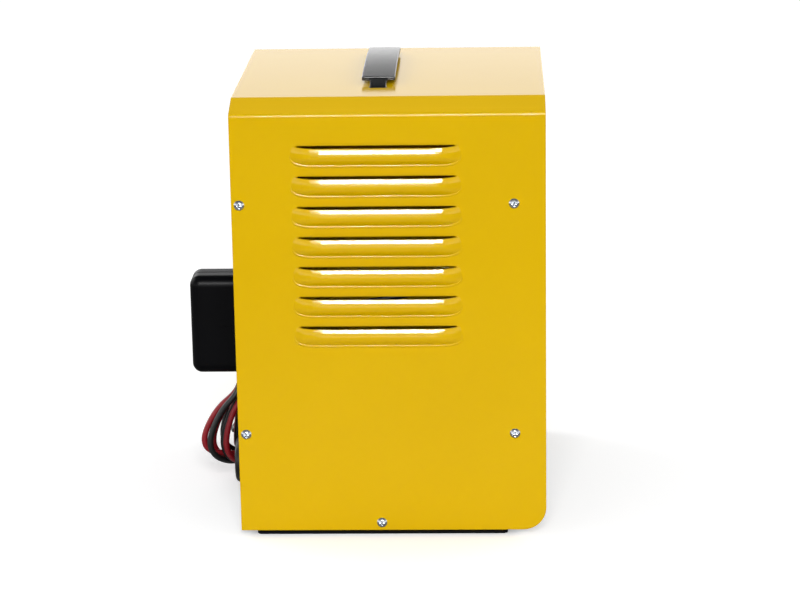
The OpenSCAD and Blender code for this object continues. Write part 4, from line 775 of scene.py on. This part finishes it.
# %% Mark the ammeter
PIVOT, SWEEP = (0, 247), 42  # the needle's pin, mm, and how far it swings to each side, degrees
DIAL = FRONT - 1.9  # the dial card's face, mm
SCALE = 37.0  # where the ticks start; figures below it, red band over it: all radii round the pin, mm
FIGURES, SMALL_TICK, BIG_TICK, RED_BAND = 33, 39.5, 41.5, (42.2, 43.6)
dial_angles = np.linspace(-SWEEP, SWEEP, 21)
strips = rays(PIVOT, SCALE, SMALL_TICK, dial_angles, 0.35) + rays(PIVOT, SCALE, BIG_TICK, dial_angles[::5], 0.6)
strips += arc_band(PIVOT, SCALE - 0.3, SCALE + 0.1, -SWEEP, SWEEP)
figures = []
for value, angle in zip((0, 5, 10, 15, 20), np.radians(dial_angles[::5])):
    figures.append((str(value), PIVOT[0] + FIGURES * math.sin(angle), PIVOT[1] + FIGURES * math.cos(angle), 5.2))
figures.append(("A", 0, 262, 8))
flat_marks("dial_scale", strips, figures, DIAL, "case", INK_BLACK)
flat_marks("dial_red_band", arc_band(PIVOT, *RED_BAND, SWEEP / 2, SWEEP, 12), [], DIAL, "case", INK_RED)

# %% Mark the front panel
PANEL = FRONT + 0.97  # the panel's face, mm
KNOB = (42.5, 34)  # the knob's axis, mm
KNOB_TICKS, KNOB_FIGURES = (22.4, 25.2), 28.4  # radii round it, mm
RIDGE, POINTER = FRONT - 11.35, (4, 14, 1.2)  # the knob's ridge; start, end and width of the line on it, mm
knob_angles = np.arange(0, 151, 30)
strips = rays(KNOB, *KNOB_TICKS, knob_angles, 0.8)
words = [(str(k), KNOB[0] + KNOB_FIGURES * math.sin(a), KNOB[1] + KNOB_FIGURES * math.cos(a), 4.6)
         for k, a in enumerate(np.radians(knob_angles))]
words += [("ON", 77, 191, 4.8), ("OFF", 77, 179, 4.8), ("24", 76, 146, 4.8), ("12", 76, 134, 4.8)]
words += [("+", CLAMPS["red"], 218, 11), ("-", CLAMPS["black"], 217, 13)]
flat_marks("panel_marks", strips, words, PANEL, "case", INK_WHITE)
flat_marks("knob_pointer", rays(KNOB, POINTER[0], POINTER[1], [0], POINTER[2]), [], RIDGE, "selector",
           INK_WHITE)


# %% Mark the rockers
LEANS = (math.radians(20.65), math.radians(1.3466))  # how far the upper and the lower face lean out
WAIST = (58, FRONT + 1.4 - 2.94, -0.57)  # where the faces meet: x, y, and the height from the rocker's middle, mm
SIGN_PLACE, SIGN_SIZE, SIGN_GAP = 5.4, 5.5, 0.02  # from the waist, how tall, off the face, mm


def rocker_marks(name, z, upper, lower, body):
    """A sign on each face of a rocker. The faces meet at its waist: one leans out, the other is nearly upright."""
    for word, lean, place, end in ((upper, LEANS[0], SIGN_PLACE, "upper"), (lower, LEANS[1], -SIGN_PLACE, "lower")):
        up = np.array((0, -math.sin(lean), math.cos(lean)))
        outward = np.cross((1, 0, 0), up)
        origin = np.array([WAIST[0], WAIST[1], z + WAIST[2]]) + up * place + outward * SIGN_GAP
        flat_marks(f"{name}_{end}", [], [(word, 0, 0, SIGN_SIZE)], 0, body, INK_WHITE,
                   ((1, 0, 0), up, origin))


rocker_marks("power_sign", 185, "I", "O", "power_rocker_body")
rocker_marks("voltage_sign", 140, "24", "12", "voltage_rocker_body")

# %% [markdown]
# ## Floor, light and background
#
# The charger stands on white paper. Near it the paper is lit like any matt sheet, so it keeps the shadow and lights
# the paint from below. Further out the paper is plain background: more light could make it white, but that would
# bleach the paint, so there it glows by itself, and only where the camera sees it. Gloss sees the paper darker than
# it is: the sides would mirror all that white and turn pale.

# %% Lay the floor
PAPER = 9  # half the paper's width, m
NEAR_EDGE, FAR_EDGE = 0.40, 1.0  # how far from the middle the change starts and ends, m
PAPER_TONE, PAPER_GLOW = (0.82, 0.30), (0.40, 0.85)  # near and far
GLOSS_TONE, GLOSS_GLOW = 0.35, 0.05  # what gloss sees: a share of the tone, and a glow of its own
floor_mesh = bpy.data.meshes.new("studio_floor")
floor_mesh.from_pydata([(-PAPER, -PAPER, 0), (PAPER, -PAPER, 0), (PAPER, PAPER, 0), (-PAPER, PAPER, 0)], [],
                       [(0, 1, 2, 3)])
floor = bpy.data.objects.new("studio_floor", floor_mesh)
bpy.context.collection.objects.link(floor)
paper = bpy.data.materials.new("white studio paper")
paper.use_nodes = True
tree = paper.node_tree
tree.nodes.remove(tree.nodes["Principled BSDF"])
place = put(tree, "ShaderNodeTexCoord").outputs["Object"]
distance = put(tree, "ShaderNodeVectorMath", {0: place}, operation="LENGTH").outputs["Value"]
far = put(tree, "ShaderNodeMapRange", {"Value": distance, "From Min": NEAR_EDGE, "From Max": FAR_EDGE})
tone, straight = (
    put(tree, "ShaderNodeMapRange", {"Value": far.outputs["Result"], "To Min": near_by, "To Max": far_off})
    for near_by, far_off in (PAPER_TONE, PAPER_GLOW))
ray = put(tree, "ShaderNodeLightPath").outputs
seen = put(tree, "ShaderNodeMath", {0: ray["Is Camera Ray"], 1: ray["Is Transmission Ray"]}, operation="MAXIMUM")
seen = put(tree, "ShaderNodeMath", {0: seen.outputs[0], 1: straight.outputs["Result"]}, operation="MULTIPLY")
mirrored = put(tree, "ShaderNodeMath", {0: ray["Is Glossy Ray"], 1: GLOSS_GLOW}, operation="MULTIPLY")
strength = put(tree, "ShaderNodeMath", {0: seen.outputs[0], 1: mirrored.outputs[0]}, operation="MAXIMUM").outputs[0]
dimmed = put(tree, "ShaderNodeMapRange", {"Value": ray["Is Glossy Ray"], "To Min": 1.0, "To Max": GLOSS_TONE})
tone = put(tree, "ShaderNodeMath", {0: tone.outputs["Result"], 1: dimmed.outputs["Result"]}, operation="MULTIPLY")
matt = put(tree, "ShaderNodeBsdfDiffuse", {"Color": tone.outputs[0]})
glow = put(tree, "ShaderNodeEmission", {"Color": (1, 1, 1, 1), "Strength": strength})
both = put(tree, "ShaderNodeAddShader", {0: matt.outputs[0], 1: glow.outputs[0]})
tree.links.new(both.outputs[0], tree.nodes["Material Output"].inputs["Surface"])
floor_mesh.materials.append(paper)
print("the paper turns plain between", NEAR_EDGE, "and", FAR_EDGE, "m from the charger")

# %% [markdown]
# The sky is a studio: a lit backdrop that is brightest near the floor, and a dim ceiling. Gloss shows it, so the
# top reflects the backdrop at a flat angle and looks pale, while the sloping band mirrors the ceiling and keeps its
# colour. The key lamp is a small bright softbox above the camera. Beside it hangs a second lamp that only gloss
# sees: the tilted bands of the louvres mirror it, and the flat sides don't get any lighter. A single strong lamp
# would do both at once, but then the bands could only shine if the whole side were washed out.

# %% Light the studio
BRIGHTEST, CEILING = 2.6, 0.05  # light at the foot of the backdrop, and the share of it that is left overhead
# Sine of the height, and the light there.
BACKDROP = ((0.10, 2.2), (0.17, 1.46), (0.20, 1.11), (0.34, 0.71), (0.50, 0.42), (0.72, 0.15))
FILL, PLAIN_SKY = 0.48, 1.0  # the sky for matt surfaces, and for the camera
AIM = (0, 0, 0.18)  # the middle of the charger, m
world = bpy.data.worlds.new("studio")
bpy.context.scene.world = world
world.use_nodes = True
tree = world.node_tree
sky = tree.nodes["Background"]
ray = put(tree, "ShaderNodeLightPath").outputs
upwards = put(tree, "ShaderNodeSeparateXYZ", {0: put(tree, "ShaderNodeTexCoord").outputs["Generated"]}).outputs["Z"]
backdrop = put(tree, "ShaderNodeFloatCurve", {"Value": upwards})
backdrop.mapping.extend = "HORIZONTAL"
for height, brightness in BACKDROP:
    backdrop.mapping.curves[0].points.new(height, brightness / BRIGHTEST)
backdrop.mapping.curves[0].points[0].location = (0.0, 1.0)
backdrop.mapping.curves[0].points[-1].location = (1.0, CEILING)
backdrop.mapping.update()
backdrop = put(tree, "ShaderNodeMath", {0: backdrop.outputs["Value"], 1: BRIGHTEST}, operation="MULTIPLY").outputs[0]
seen = put(tree, "ShaderNodeMath", {0: ray["Is Camera Ray"], 1: ray["Is Transmission Ray"]}, operation="MAXIMUM")
fill = put(tree, "ShaderNodeMapRange", {"Value": seen.outputs[0], "To Min": FILL, "To Max": PLAIN_SKY}).outputs[0]
soft = put(tree, "ShaderNodeMath", {0: fill, 1: ray["Is Glossy Ray"]}, operation="SUBTRACT").outputs[0]
mirrored = put(tree, "ShaderNodeMath", {0: ray["Is Glossy Ray"], 1: backdrop}, operation="MULTIPLY").outputs[0]
strength = put(tree, "ShaderNodeMath", {0: soft, 1: mirrored}, operation="MAXIMUM").outputs[0]
sky.inputs["Color"].default_value = (1, 1, 1, 1)
tree.links.new(strength, sky.inputs["Strength"])


def softbox(name, place, width, height, power, gloss_only=False):
    """A rectangular lamp that looks at the middle of the charger."""
    data = bpy.data.lights.new(name, "AREA")
    data.shape, data.size, data.size_y, data.energy = "RECTANGLE", width, height, power
    made = bpy.data.objects.new(name, data)
    made.location = place
    made.rotation_euler = (Vector(AIM) - Vector(place)).to_track_quat("-Z", "Y").to_euler()
    made.visible_camera = False
    made.visible_diffuse = not gloss_only
    bpy.context.collection.objects.link(made)


softbox("key_softbox", (2.25, 0.10, 1.42), 0.74, 0.62, 31.6)
softbox("key_glint", (2.24, 0.08, 1.415), 0.80, 0.62, 70, gloss_only=True)
softbox("front_softbox", (-1.0, -2.4, 1.6), 1.6, 1.2, 23)
softbox("back_softbox", (-1.0, 2.4, 1.6), 1.6, 1.2, 19)
bpy.context.scene.view_settings.view_transform = "Standard"
